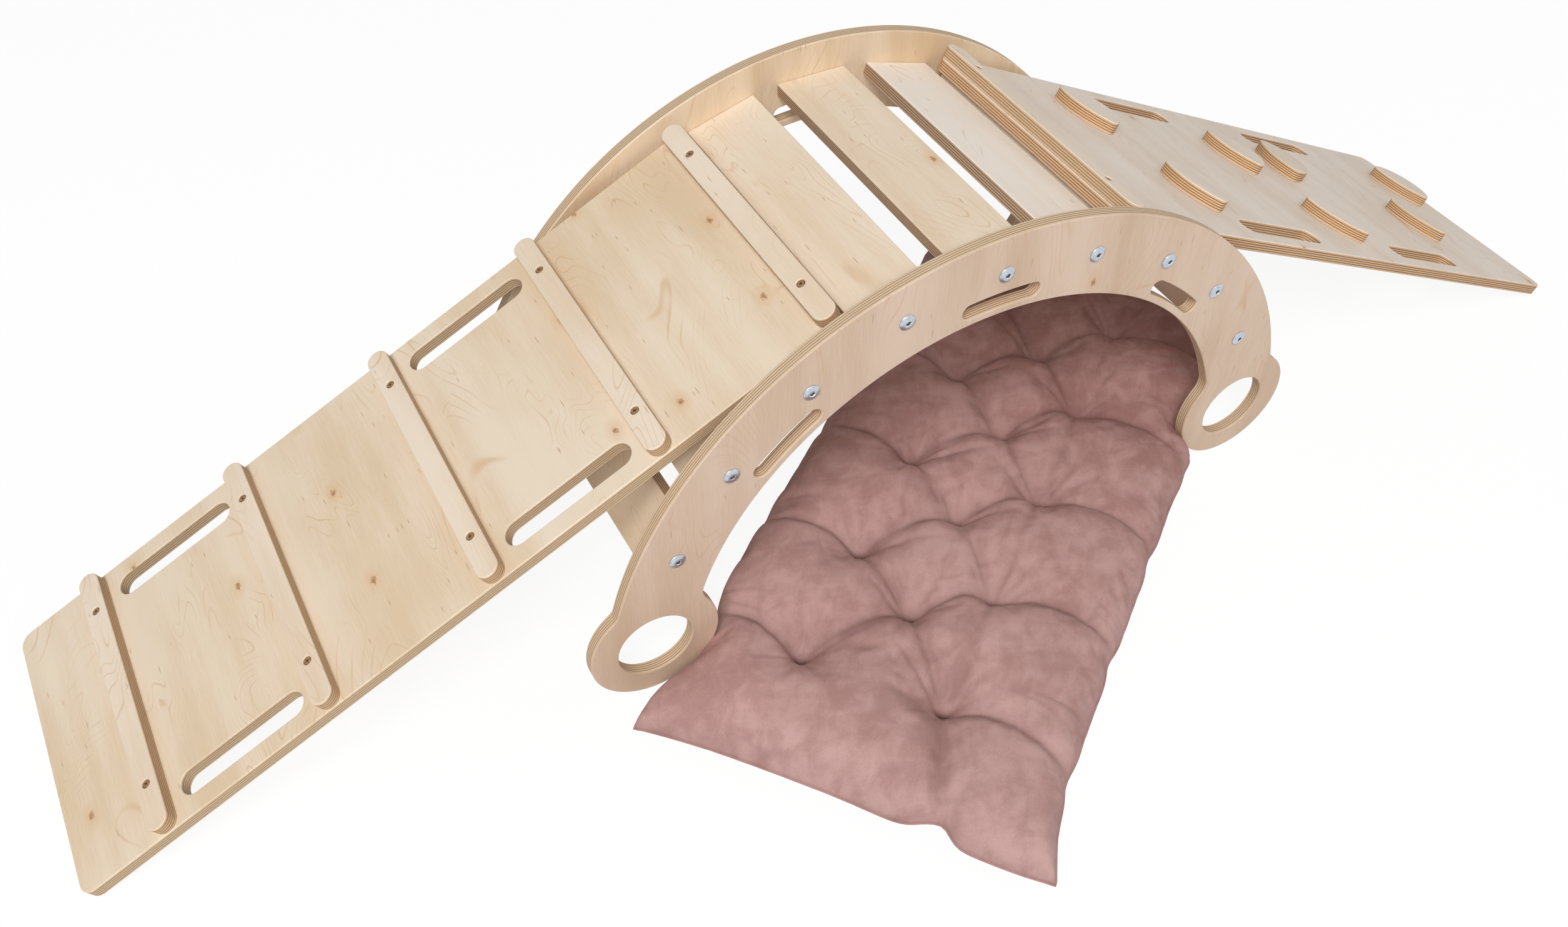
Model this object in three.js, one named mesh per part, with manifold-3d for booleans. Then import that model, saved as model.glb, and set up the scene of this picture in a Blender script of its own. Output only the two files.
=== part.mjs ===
// Plywood climbing arch that turns over into a rocker, with a ladder ramp, a climbing ramp
// and a tufted floor cushion. Millimetres, +Z up, X along the ramps, Y from the near side to the far side.
import * as THREE from 'three';
import { mergeVertices } from 'three/addons/utils/BufferGeometryUtils.js';
import Module from 'manifold-3d';

const wasm = await Module();
wasm.setup();
const degrees = THREE.MathUtils.degToRad;

// Plywood, fits and cuts
const plyThickness = 15;
const arris = 1.5;
const seatGap = 0.3;
const pinClearance = 0.3;
const overrun = 4;
const weldTolerance = 0.001;

// Arch: two curved side panels on round feet
const innerWidth = 370;
const archOuterRadius = 445.5;
const bandWidth = 94.5;
const footRadius = 74;
const footInset = 51.5;
const footAngle = degrees(7.4);
const footOuterFillet = 12;
const footInnerFillet = 25;
const footHoleRadius = 43;
const footHoleDrop = 2;

// Curved hand slots in the side panels, their places counted in slat pitches from the top
const handSlotInset = 17.5;
const handSlotWidth = 18;
const handSlotLength = 92;
const handSlotPlaces = [-2.5, 0, 2.5];

// Slats between the panels
const slatCount = 9;
const slatPitch = degrees(16.16);
const slatInset = 45.5;
const slatGap = 28.6;

// Connector bolts with their barrel nuts, and the dowels in each slat end
const boltLength = 54;
const boltShankRadius = 3;
const boltHeadRadius = 9;
const boltRimThickness = 1;
const boltHeadHeight = 3;
const boltTopRadius = 5.5;
const boltSocketRadius = 2.4;
const boltSocketDepth = 2.2;
const nutInset = 32;
const nutRadius = 5;
const nutLength = 12;
const dowelRadius = 4;
const dowelLength = 30;
const dowelInPanel = 10;
const dowelInset = 14.5;

// Ramps: both boards, their rungs and their hook battens
const boardLength = 920;
const boardSideClearance = 10;
const boardCornerRadius = 15;
const boardEndClearance = 4;
const boardLowerEnd = 107.5;
const rungWidth = 25;
const rungCount = 5;
const rampSlotLand = 25;
const rampSlotWidth = 28;
const ladderSlotEdge = 21;
const ladderSlotPlaces = [1.5, 3.5];
const climbingSlotEdge = 19;
const climbingSlotShares = [0.3294, 0.6826];
const battenDepth = 20;
const battenInset = 10;
const battenClearance = 3;

// Wood screws
const screwHeadRadius = 4;
const screwHeadDepth = 2.4;
const screwShankRadius = 2;
const screwTipLength = 3;
const screwRecess = 0.8;
const rungScrewLength = 25;
const rungScrewInset = 55;
const holdScrewLength = 22;
const holdScrewSpread = 20;
const holdScrewDrop = 8;
const battenScrewLength = 30;
const battenScrewPitch = 90;

// Climbing holds: a pebble outline between a flat crown and a deep belly
const holdTipRadius = 8;
const holdTipSpread = 36;
const holdCrownRadius = 75;
const holdBellyRadius = 44.5;
const holdPlaceShares = [
  { along: 0.172, across: 0.238, turn: degrees(-16) },
  { along: 0.211, across: -0.228, turn: degrees(-13) },
  { along: 0.455, across: 0.151, turn: degrees(-16) },
  { along: 0.575, across: 0.167, turn: degrees(9.5) },
  { along: 0.506, across: -0.281, turn: degrees(-28) },
  { along: 0.920, across: 0.185, turn: degrees(-22) },
  { along: 0.796, across: -0.139, turn: degrees(-15) },
];

// Floor cushion
const cushionLength = 886;
const cushionWidth = 420;
const cushionCrown = 72;
const cushionSeamHeight = 26;
const cushionEndDraw = 22;
const cushionTipFlare = 20;
const cushionSoleInset = 22;
const cushionTurn = degrees(36.87);
const cushionShift = 44.6;
const cushionForward = 160.8;
const cushionFootClearance = 6;
const cushionPinchSpread = 60;
const tuftDepth = 34;
const tuftSpread = 34;
const edgeTuftPitch = 162;
const middleTuftPitch = 154;
const tuftRowShares = [
  { across: 0.44, along: 0.02, pitch: edgeTuftPitch, count: 5 },
  { across: 0.04, along: 0.03, pitch: middleTuftPitch, count: 4 },
  { across: -0.33, along: 0.02, pitch: edgeTuftPitch, count: 5 },
];
const cushionStepsAlong = 40;
const cushionStepsAcross = 18;

// Facets of round forms
const bandFacet = degrees(4);
const footFacet = degrees(15);
const filletFacet = degrees(22);
const endFacet = degrees(30);
const boltFacets = 10;
const nutFacets = 8;
const pinFacets = 6;
const screwFacets = 6;
const footRoomFacets = 32;

// Sizes that follow from the ones above
const slatLength = innerWidth - 2 * seatGap;
const boardWidth = innerWidth - 2 * boardSideClearance;
const rungPitch = (boardLength - rungWidth / 2 - boardLowerEnd) / (rungCount - 1);
const rampSlotLength = rungPitch - rungWidth - rampSlotLand;
const archInnerRadius = archOuterRadius - bandWidth;
const handSlotRadius = archInnerRadius + handSlotInset;
const footReach = archOuterRadius - footInset;
const footCentre = fromPolar(footReach, footAngle);
const archCentreHeight = footRadius - footCentre.y;
const slatRadius = archOuterRadius - slatInset;
const slatWidth = 2 * slatRadius * Math.tan(slatPitch / 2) - slatGap;
const slatAngles = Array.from({ length: slatCount }, (_, i) => (i - (slatCount - 1) / 2) * slatPitch);
const dowelSpread = slatWidth / 2 - dowelInset;

// Materials
const panelWood = wood(0xdcc3a4);
const slatWood = wood(0xe6cfb2);
const boardWood = wood(0xe3ccb0);
const climbingWood = wood(0xd8cabb);
const rungWood = wood(0xe8d6bf);
const zincSteel = steel(0xaab4c0);
const screwSteel = steel(0x6f675c);
const velvet = new THREE.MeshStandardMaterial({ color: 0xa97c78, roughness: 0.95, metalness: 0, flatShading: true });

function wood(color) {
  return new THREE.MeshStandardMaterial({ color, roughness: 0.55, metalness: 0, flatShading: true });
}

function steel(color) {
  return new THREE.MeshStandardMaterial({ color, roughness: 0.35, metalness: 1, flatShading: true });
}

function named(name, geometry, material) {
  const mesh = new THREE.Mesh(geometry, material);
  mesh.name = name;
  return mesh;
}

function fromPolar(radius, angle) {
  return new THREE.Vector2(radius * Math.cos(angle), radius * Math.sin(angle));
}

// The same direction as angle, written within half a turn of base
function nearTurn(base, angle) {
  return base + Math.atan2(Math.sin(angle - base), Math.cos(angle - base));
}

// Points along a round stretch
function arcPoints(centre, radius, from, to, facet) {
  const count = Math.max(1, Math.round(Math.abs(to - from) / facet));
  return Array.from({ length: count + 1 }, (_, i) => {
    const angle = from + (to - from) * (i / count);
    return fromPolar(radius, angle).add(centre);
  });
}

// One closed outline from stretches that follow each other, without the points that two stretches share
function outline(...stretches) {
  const points = stretches.flat();
  const previous = (i) => points[(i + points.length - 1) % points.length];
  return new THREE.Shape(points.filter((point, i) => point.distanceTo(previous(i)) > weldTolerance));
}

// Rectangle with round corners, centred, length along x
function roundedRectangle(length, width, radius, facet) {
  const corner = (x, y, start) => {
    const centre = new THREE.Vector2(x * (length / 2 - radius), y * (width / 2 - radius));
    return arcPoints(centre, radius, start, start + Math.PI / 2, facet);
  };
  return outline(
    corner(1, 1, 0),
    corner(-1, 1, Math.PI / 2),
    corner(-1, -1, Math.PI),
    corner(1, -1, 1.5 * Math.PI),
  );
}

// Slot or rung outline with half-round ends, length along x
function stadium(length, width) {
  return roundedRectangle(length, width, width / 2, endFacet);
}

// Board cut from sheet: its lower face at z 0, its arrises eased
function sheet(shape, thickness) {
  const geometry = new THREE.ExtrudeGeometry(shape, {
    depth: thickness - 2 * arris,
    bevelThickness: arris,
    bevelSize: arris,
    bevelOffset: -arris,
    bevelSegments: 1,
  });
  return geometry.translate(0, 0, arris);
}

// Straight prism between two heights
function prism(shape, from, to) {
  return new THREE.ExtrudeGeometry(shape, { depth: to - from, bevelEnabled: false }).translate(0, 0, from);
}

// Round pin along z between two heights
function pin(radius, from, to, facets) {
  const geometry = new THREE.CylinderGeometry(radius, radius, to - from, facets);
  return geometry.rotateX(Math.PI / 2).translate(0, 0, (from + to) / 2);
}

// Corner radius of a faceted hole that clears a round pin all the way round
function holeRadius(pinRadius, facets) {
  return (pinRadius + pinClearance) / Math.cos(Math.PI / facets);
}

// Turned part about z from a profile of [radius, height] pairs
function turned(profile, facets) {
  const points = profile.map(([radius, height]) => new THREE.Vector2(radius, height));
  return new THREE.LatheGeometry(points, facets).rotateX(Math.PI / 2);
}

// Closed solid for joining and cutting
function toSolid(geometry) {
  const bare = geometry.clone();
  bare.deleteAttribute('normal');
  bare.deleteAttribute('uv');
  const merged = mergeVertices(bare, weldTolerance);
  const corners = merged.index.array;
  const kept = [];
  for (let i = 0; i < corners.length; i += 3) {
    const [a, b, c] = corners.slice(i, i + 3);
    if (a !== b && b !== c && c !== a) kept.push(a, b, c);
  }
  return new wasm.Manifold(new wasm.Mesh({
    numProp: 3,
    vertProperties: new Float32Array(merged.attributes.position.array),
    triVerts: new Uint32Array(kept),
  }));
}

function toGeometry(solid) {
  const mesh = solid.getMesh();
  const geometry = new THREE.BufferGeometry();
  geometry.setAttribute('position', new THREE.BufferAttribute(mesh.vertProperties, 3));
  geometry.setIndex(new THREE.BufferAttribute(mesh.triVerts, 1));
  geometry.computeVertexNormals();
  return geometry;
}

// Geometry with other pieces of the same body joined to it
function join(geometry, additions) {
  const body = additions.reduce((solid, addition) => solid.add(toSolid(addition)), toSolid(geometry));
  return toGeometry(body);
}

// Geometry with tools cut out of it
function cut(geometry, tools) {
  const body = tools.reduce((solid, tool) => solid.subtract(toSolid(tool)), toSolid(geometry));
  return toGeometry(body);
}

// Copies of a tool or screw at each place
function moved(geometry, places) {
  return places.map(({ x, y, z }) => geometry.clone().translate(x, y, z));
}

// Copies of one slat end's hole, moved to every slat in the plane of a side panel
function atSlats(geometry) {
  return slatAngles.map((angle) => {
    const centre = fromPolar(slatRadius, Math.PI / 2 - angle);
    return geometry.clone().rotateZ(-angle).translate(centre.x, centre.y, 0);
  });
}

// A piece at every slat, numbered from the ladder side
function meshesAtSlats(prefix, geometry, material) {
  return slatAngles.map((angle, i) => {
    const mesh = named(`${prefix}_${i + 1}`, geometry, material);
    const centre = fromPolar(slatRadius, Math.PI / 2 - angle);
    mesh.position.set(centre.x, centre.y, 0);
    mesh.rotation.z = -angle;
    return mesh;
  });
}

// The small arc that eases the band into a foot; side is 1 outside the band and -1 inside it
function footFillet(bandRadius, side, radius) {
  const reach = bandRadius + side * radius;
  const span = footRadius + radius;
  const turn = Math.acos((footReach ** 2 + reach ** 2 - span ** 2) / (2 * footReach * reach));
  const angle = footAngle + turn;
  const centre = fromPolar(reach, angle);
  const onBand = side > 0 ? angle - Math.PI : angle;
  const toFoot = footCentre.clone().sub(centre).angle();
  const fromFoot = centre.clone().sub(footCentre).angle();
  return { centre, angle, onBand, onFoot: nearTurn(onBand, toFoot), fromFoot: nearTurn(-Math.PI / 2, fromFoot) };
}

// Side panel outline about the arch centre: the right half from the top down and round the foot, then its mirror
function panelOutline() {
  const middle = new THREE.Vector2();
  const outer = footFillet(archOuterRadius, 1, footOuterFillet);
  const inner = footFillet(archInnerRadius, -1, footInnerFillet);
  const half = [
    ...arcPoints(middle, archOuterRadius, Math.PI / 2, outer.angle, bandFacet),
    ...arcPoints(outer.centre, footOuterFillet, outer.onBand, outer.onFoot, filletFacet),
    ...arcPoints(footCentre, footRadius, outer.fromFoot, -Math.PI / 2, footFacet),
    ...arcPoints(footCentre, footRadius, -Math.PI / 2, inner.fromFoot, footFacet),
    ...arcPoints(inner.centre, footInnerFillet, inner.onFoot, inner.onBand, filletFacet),
    ...arcPoints(middle, archInnerRadius, inner.angle, Math.PI / 2, bandFacet),
  ];
  const mirrored = half.map((point) => new THREE.Vector2(-point.x, point.y)).reverse();
  return outline(half, mirrored);
}

// Curved hand slot, its middle at an angle from the top of the arch
function handSlot(fromTop) {
  const middle = new THREE.Vector2();
  const halfWidth = handSlotWidth / 2;
  const halfTurn = (handSlotLength - handSlotWidth) / 2 / handSlotRadius;
  const start = Math.PI / 2 - fromTop - halfTurn;
  const end = Math.PI / 2 - fromTop + halfTurn;
  return outline(
    arcPoints(middle, handSlotRadius + halfWidth, start, end, bandFacet),
    arcPoints(fromPolar(handSlotRadius, end), halfWidth, end, end + Math.PI, endFacet),
    arcPoints(middle, handSlotRadius - halfWidth, end, start, bandFacet),
    arcPoints(fromPolar(handSlotRadius, start), halfWidth, start + Math.PI, start + 2 * Math.PI, endFacet),
  );
}

// Hardware of one slat end: z 0 is the panel's inner face, +z points out of the panel, y is radial
function boltGeometry() {
  const seat = plyThickness + seatGap;
  const top = seat + boltHeadHeight;
  const bolt = turned([
    [0, seat - boltLength],
    [boltShankRadius, seat - boltLength],
    [boltShankRadius, seat],
    [boltHeadRadius, seat],
    [boltHeadRadius, seat + boltRimThickness],
    [boltTopRadius, top],
    [boltSocketRadius, top],
    [boltSocketRadius, top - boltSocketDepth],
    [0, top - boltSocketDepth],
  ], boltFacets);
  const nut = pin(nutRadius, -nutLength / 2, nutLength / 2, nutFacets).rotateX(Math.PI / 2);
  return join(bolt, [nut.translate(0, 0, -nutInset)]);
}

function boltBore() {
  return pin(holeRadius(boltShankRadius, nutFacets), -boltLength, plyThickness + overrun, nutFacets);
}

// Blind hole for the barrel nut, drilled from the slat's inner face
function nutHole() {
  const roof = nutLength / 2 + pinClearance;
  const hole = pin(holeRadius(nutRadius, nutFacets), -plyThickness / 2 - overrun, roof, nutFacets);
  return hole.rotateX(-Math.PI / 2).translate(0, 0, -nutInset);
}

// Dowel glued into the slat, standing out of it into the panel
function dowel() {
  return pin(dowelRadius, dowelInPanel - dowelLength, dowelInPanel, pinFacets).translate(dowelSpread, 0, 0);
}

function dowelHole() {
  const hole = pin(holeRadius(dowelRadius, pinFacets), -overrun, dowelInPanel + pinClearance, pinFacets);
  return hole.translate(dowelSpread, 0, 0);
}

function panelGeometry() {
  const holeCentre = footCentre.clone().sub(new THREE.Vector2(0, footHoleDrop));
  const handSlots = handSlotPlaces.map((place) => prism(handSlot(place * slatPitch), -overrun, plyThickness + overrun));
  const footHoles = [1, -1].map((side) => {
    const centre = new THREE.Vector2(side * holeCentre.x, holeCentre.y);
    const rim = outline(arcPoints(centre, footHoleRadius, 0, 2 * Math.PI, footFacet));
    return prism(rim, -overrun, plyThickness + overrun);
  });
  return cut(sheet(panelOutline(), plyThickness), [
    ...handSlots, ...footHoles, ...atSlats(boltBore()), ...atSlats(dowelHole()),
  ]);
}

// Slat with its dowels, about its own centre: x across, y radial, z along; both ends are alike
function slatGeometry() {
  const profile = roundedRectangle(slatWidth, plyThickness, arris, Math.PI / 2);
  const atBothEnds = (tool) => {
    const near = tool.translate(0, 0, innerWidth / 2);
    return [near, near.clone().rotateY(Math.PI)];
  };
  const slat = join(prism(profile, -slatLength / 2, slatLength / 2), atBothEnds(dowel()));
  return cut(slat, [...atBothEnds(boltBore()), ...atBothEnds(nutHole())]);
}

// One side of the arch in the plane of its panel, lifted to the arch centre
function archSide(side) {
  const group = new THREE.Group();
  group.position.set(0, -innerWidth / 2, archCentreHeight);
  group.rotation.x = Math.PI / 2;
  group.add(
    named(`${side}_side_panel`, panelGeometry(), panelWood),
    ...meshesAtSlats(`${side}_bolt`, boltGeometry(), zincSteel),
  );
  return group;
}

function slats() {
  const group = new THREE.Group();
  group.position.z = archCentreHeight;
  group.rotation.x = Math.PI / 2;
  group.add(...meshesAtSlats('slat', slatGeometry(), slatWood));
  return group;
}

function arch() {
  const farSide = new THREE.Group();
  farSide.rotation.z = Math.PI;
  farSide.add(archSide('far'));
  const group = new THREE.Group();
  group.add(archSide('near'), farSide, slats());
  return group;
}

// Upper outer corner of the slat that a ramp rests on, and the width of the slat gap above it
function rampRest() {
  const cornerReach = Math.hypot(slatRadius + plyThickness / 2, slatWidth / 2);
  const cornerTurn = Math.atan2(slatWidth / 2, slatRadius + plyThickness / 2);
  const corner = fromPolar(cornerReach, Math.PI / 2 - 2 * slatPitch + cornerTurn);
  const gapWidth = 2 * cornerReach * Math.sin(slatPitch / 2 - cornerTurn);
  return { x: corner.x, z: corner.y + archCentreHeight, gapWidth };
}

const rest = rampRest();
const topOverhang = rest.gapWidth - boardEndClearance;

// Slope at which the board lies on the slat corner and its lower end on the floor
function rampSlope() {
  const reach = boardLength - topOverhang - arris;
  return Math.asin(rest.z / Math.hypot(reach, seatGap)) + Math.atan2(seatGap, reach);
}

// Ramp frame: x downhill from the slat corner, y across, z square to the board, 0 at its underside
const slope = rampSlope();
const firstRungLine = rungWidth / 2 - topOverhang;
const rungSeat = plyThickness + seatGap;
const rungTop = rungSeat + plyThickness;
const rungScrewSpread = boardWidth / 2 - rungScrewInset;

// Countersunk wood screw, its head's face at z 0 and its tip down
function screwGeometry(length) {
  return turned([
    [0, -length],
    [screwShankRadius, screwTipLength - length],
    [screwShankRadius, -screwHeadDepth],
    [screwHeadRadius, 0],
    [0, 0],
  ], screwFacets);
}

// Hole for such a screw, open above its head
function screwHole(length) {
  const shank = holeRadius(screwShankRadius, screwFacets);
  const head = holeRadius(screwHeadRadius, screwFacets);
  return turned([
    [0, -length - pinClearance],
    [shank, screwTipLength - length - pinClearance],
    [shank, -screwHeadDepth - pinClearance],
    [head, -pinClearance],
    [head, plyThickness + overrun],
    [0, plyThickness + overrun],
  ], screwFacets);
}

// Places of the two screws of a rung
function rungScrewPlaces(x) {
  return [1, -1].map((side) => new THREE.Vector3(x, side * rungScrewSpread, rungTop - screwRecess));
}

// Places of the three screws driven up through a batten
function battenScrewPlaces() {
  const x = -battenClearance - plyThickness / 2;
  return [-1, 0, 1].map((step) => new THREE.Vector3(x, step * battenScrewPitch, screwRecess - seatGap - battenDepth));
}

// Places of the two screws that hold a hold from behind
function holdScrewPlaces(hold) {
  return [1, -1].map((side) => {
    const place = new THREE.Vector2(holdScrewDrop, side * holdScrewSpread);
    place.rotateAround(new THREE.Vector2(), -hold.turn);
    return new THREE.Vector3(hold.x + place.x, hold.y + place.y, screwRecess);
  });
}

function boardGeometry(slotPlaces, slotEdge, tools) {
  const slotSide = boardWidth / 2 - slotEdge - rampSlotWidth / 2;
  const slot = prism(stadium(rampSlotLength, rampSlotWidth), -overrun, plyThickness + overrun);
  const slots = slotPlaces.flatMap((x) => [1, -1].map((side) => slot.clone().translate(x, side * slotSide, 0)));
  const shape = roundedRectangle(boardLength, boardWidth, boardCornerRadius, endFacet);
  const blank = sheet(shape, plyThickness).translate(boardLength / 2 - topOverhang, 0, 0);
  const fromBelow = screwHole(battenScrewLength).rotateX(Math.PI);
  return cut(blank, [...slots, ...tools, ...moved(fromBelow, battenScrewPlaces())]);
}

function rungGeometry() {
  const blank = sheet(stadium(boardWidth, rungWidth), plyThickness).rotateZ(Math.PI / 2).translate(0, 0, rungSeat);
  return cut(blank, moved(screwHole(rungScrewLength), rungScrewPlaces(0)));
}

// Batten with the screws that are driven up through it
function battenGeometry() {
  const profile = roundedRectangle(plyThickness, battenDepth, arris, Math.PI / 2);
  const halfLength = boardWidth / 2 - battenInset;
  const blank = prism(profile, -halfLength, halfLength).rotateX(Math.PI / 2);
  blank.translate(-battenClearance - plyThickness / 2, 0, -seatGap - battenDepth / 2);
  return join(blank, moved(screwGeometry(battenScrewLength).rotateX(Math.PI), battenScrewPlaces()));
}

function rungs(prefix, names) {
  const geometry = rungGeometry();
  return names.map((name, i) => {
    const rung = named(`${prefix}_${name}`, geometry, rungWood);
    rung.position.x = firstRungLine + i * rungPitch;
    return rung;
  });
}

function rungScrews(prefix, places) {
  const geometry = screwGeometry(rungScrewLength);
  return places.map((place, i) => {
    const screw = named(`${prefix}_screw_${i + 1}`, geometry, screwSteel);
    screw.position.copy(place);
    return screw;
  });
}

// Ramp group on the right of the arch, laid on the slat corner
function ramp(pieces) {
  const group = new THREE.Group();
  group.position.set(rest.x + seatGap * Math.sin(slope), 0, rest.z + seatGap * Math.cos(slope));
  group.rotation.y = slope;
  group.add(...pieces);
  return group;
}

function ladderRamp() {
  const names = Array.from({ length: rungCount }, (_, i) => `rung_${i + 1}`);
  const screwPlaces = names.flatMap((_, i) => rungScrewPlaces(firstRungLine + i * rungPitch));
  const slotPlaces = ladderSlotPlaces.map((place) => firstRungLine + place * rungPitch);
  const board = boardGeometry(slotPlaces, ladderSlotEdge, moved(screwHole(rungScrewLength), screwPlaces));
  const group = new THREE.Group();
  group.rotation.z = Math.PI;
  group.add(ramp([
    named('ladder_board', board, boardWood),
    ...rungs('ladder', names),
    ...rungScrews('ladder', screwPlaces),
    named('ladder_hook_batten', battenGeometry(), rungWood),
  ]));
  return group;
}

// Pebble outline: uphill is -x, the tips lie on the y axis
function holdOutline() {
  const crownSink = Math.sqrt((holdCrownRadius - holdTipRadius) ** 2 - holdTipSpread ** 2);
  const bellyRise = Math.sqrt((holdBellyRadius - holdTipRadius) ** 2 - holdTipSpread ** 2);
  const crownTurn = Math.atan2(holdTipSpread, crownSink);
  const bellyTurn = Math.atan2(holdTipSpread, -bellyRise);
  const crown = arcPoints(new THREE.Vector2(crownSink, 0), holdCrownRadius,
    Math.PI - crownTurn, Math.PI + crownTurn, filletFacet / 2);
  const nearTip = arcPoints(new THREE.Vector2(0, -holdTipSpread), holdTipRadius,
    Math.PI + crownTurn, 2 * Math.PI - bellyTurn + Math.PI, endFacet);
  const belly = arcPoints(new THREE.Vector2(-bellyRise, 0), holdBellyRadius,
    bellyTurn - Math.PI, Math.PI - bellyTurn, filletFacet);
  const farTip = arcPoints(new THREE.Vector2(0, holdTipSpread), holdTipRadius,
    Math.PI - bellyTurn, Math.PI - crownTurn, endFacet);
  return outline(crown, nearTip, belly, farTip);
}

function climbingRamp() {
  const topScrewPlaces = rungScrewPlaces(firstRungLine);
  const holdPlaces = holdPlaceShares.map((share) => ({
    x: firstRungLine + share.along * boardLength,
    y: share.across * boardWidth,
    turn: share.turn,
  }));
  const fromBelow = holdPlaces.flatMap(holdScrewPlaces);
  const holdHole = screwHole(holdScrewLength).rotateX(Math.PI);
  const slotPlaces = climbingSlotShares.map((share) => firstRungLine + share * boardLength);
  const board = boardGeometry(slotPlaces, climbingSlotEdge, [
    ...moved(screwHole(rungScrewLength), topScrewPlaces),
    ...moved(holdHole, fromBelow),
  ]);
  const blank = prism(holdOutline(), rungSeat, rungTop);
  const holdScrews = moved(screwGeometry(holdScrewLength).rotateX(Math.PI), holdScrewPlaces({ x: 0, y: 0, turn: 0 }));
  const holdGeometry = join(blank, holdScrews);
  const holds = holdPlaces.map(({ x, y, turn }, i) => {
    const hold = named(`climbing_hold_${i + 1}`, holdGeometry, slatWood);
    hold.position.set(x, y, 0);
    hold.rotation.z = -turn;
    return hold;
  });
  return ramp([
    named('climbing_board', board, climbingWood),
    ...rungs('climbing', ['top_rung']),
    ...rungScrews('climbing', topScrewPlaces),
    ...holds,
    named('climbing_hook_batten', battenGeometry(), rungWood),
  ]);
}

// Places of the tufts in the cushion's own frame
function tuftPlaces() {
  return tuftRowShares.flatMap(({ across, along, pitch, count }) => Array.from({ length: count }, (_, i) => (
    new THREE.Vector2(along * cushionLength + (i - (count - 1) / 2) * pitch, across * cushionWidth / 2)
  )));
}

// Half width of the cushion before the feet press on it, at a share of its half length
function cushionHalfWidth(share) {
  return cushionWidth / 2 + cushionTipFlare * share ** 6;
}

// How far each near foot presses into the cushion, and where along it
function cushionPinches() {
  const middle = new THREE.Vector2();
  const footHeight = footRadius - cushionSeamHeight;
  const footEdge = footCentre.x - Math.sqrt(footRadius ** 2 - footHeight ** 2);
  return [-1, 1].map((side) => {
    const edge = new THREE.Vector2(side * footEdge - cushionShift, cushionForward - (innerWidth + plyThickness) / 2);
    edge.rotateAround(middle, -cushionTurn);
    const depth = cushionHalfWidth(edge.x * 2 / cushionLength) + cushionFootClearance - Math.abs(edge.y);
    return { along: edge.x, side: Math.sign(edge.y), depth: Math.max(0, depth) };
  });
}

// A point of the cushion's upper skin; u and v run from -1 to 1 along and across it
function cushionPoint(u, v, tufts, pinches) {
  const x = u * (cushionLength / 2 - cushionEndDraw * (1 - v * v) * u * u);
  const pinched = pinches.filter(({ side }) => side * v > 0).reduce((sum, { along, depth }) => (
    sum + depth * Math.exp(-(((x - along) / cushionPinchSpread) ** 2))
  ), 0);
  const y = v * (cushionHalfWidth(u) - pinched);
  const swell = ((1 - v ** 4) * (1 - u ** 8)) ** 0.4;
  const dip = tufts.reduce((sum, tuft) => {
    const away = Math.hypot(x - tuft.x, y - tuft.y) / tuftSpread;
    return sum + tuftDepth * Math.exp(-away * away);
  }, 0);
  const rise = (cushionCrown - cushionSeamHeight) * swell;
  return new THREE.Vector3(x, y, cushionSeamHeight + rise - Math.min(dip, tuftDepth) * swell);
}

// Upper skin of the cushion as rows of points, and its rim in order
function cushionSkin() {
  const tufts = tuftPlaces();
  const pinches = cushionPinches();
  const rows = Array.from({ length: cushionStepsAlong + 1 }, (_, i) => (
    Array.from({ length: cushionStepsAcross + 1 }, (__, j) => (
      cushionPoint(2 * i / cushionStepsAlong - 1, 2 * j / cushionStepsAcross - 1, tufts, pinches)
    ))
  ));
  const rim = [
    ...rows.map((row) => row[0]),
    ...rows[cushionStepsAlong].slice(1),
    ...rows.map((row) => row[cushionStepsAcross]).reverse().slice(1),
    ...rows[0].slice(1, -1).reverse(),
  ];
  return { rows, rim };
}

// Flat sole inside the rim, on the floor
function soleRing(rim) {
  const shrinkAlong = 1 - 2 * cushionSoleInset / cushionLength;
  const shrinkAcross = 1 - 2 * cushionSoleInset / cushionWidth;
  return rim.map((point) => new THREE.Vector3(point.x * shrinkAlong, point.y * shrinkAcross, 0));
}

function cushionForm() {
  const { rows, rim } = cushionSkin();
  const sole = soleRing(rim);
  const corners = [];
  const quad = (a, b, c, d) => corners.push(a, b, c, a, c, d);
  for (let i = 0; i < cushionStepsAlong; i += 1) {
    for (let j = 0; j < cushionStepsAcross; j += 1) {
      quad(rows[i][j], rows[i + 1][j], rows[i + 1][j + 1], rows[i][j + 1]);
    }
  }
  rim.forEach((point, i) => {
    const next = (i + 1) % rim.length;
    quad(sole[i], sole[next], rim[next], point);
  });
  const flat = sole.map(({ x, y }) => new THREE.Vector2(x, y));
  THREE.ShapeUtils.triangulateShape(flat, []).forEach(([a, b, c]) => corners.push(sole[a], sole[c], sole[b]));
  return new THREE.BufferGeometry().setFromPoints(corners);
}

// Room that the feet of both panels need beside the cushion
function footRooms() {
  const radius = holeRadius(footRadius, footRoomFacets);
  return [1, -1].flatMap((end) => [1, -1].map((side) => {
    const room = pin(radius, -seatGap, plyThickness + seatGap, footRoomFacets);
    room.translate(end * footCentre.x, footRadius, -side * (innerWidth + plyThickness) / 2 - plyThickness / 2);
    return room.rotateX(Math.PI / 2);
  }));
}

function cushion() {
  const form = cushionForm().rotateZ(cushionTurn).translate(cushionShift, -cushionForward, 0);
  return named('cushion', cut(form, footRooms()), velvet);
}

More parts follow.
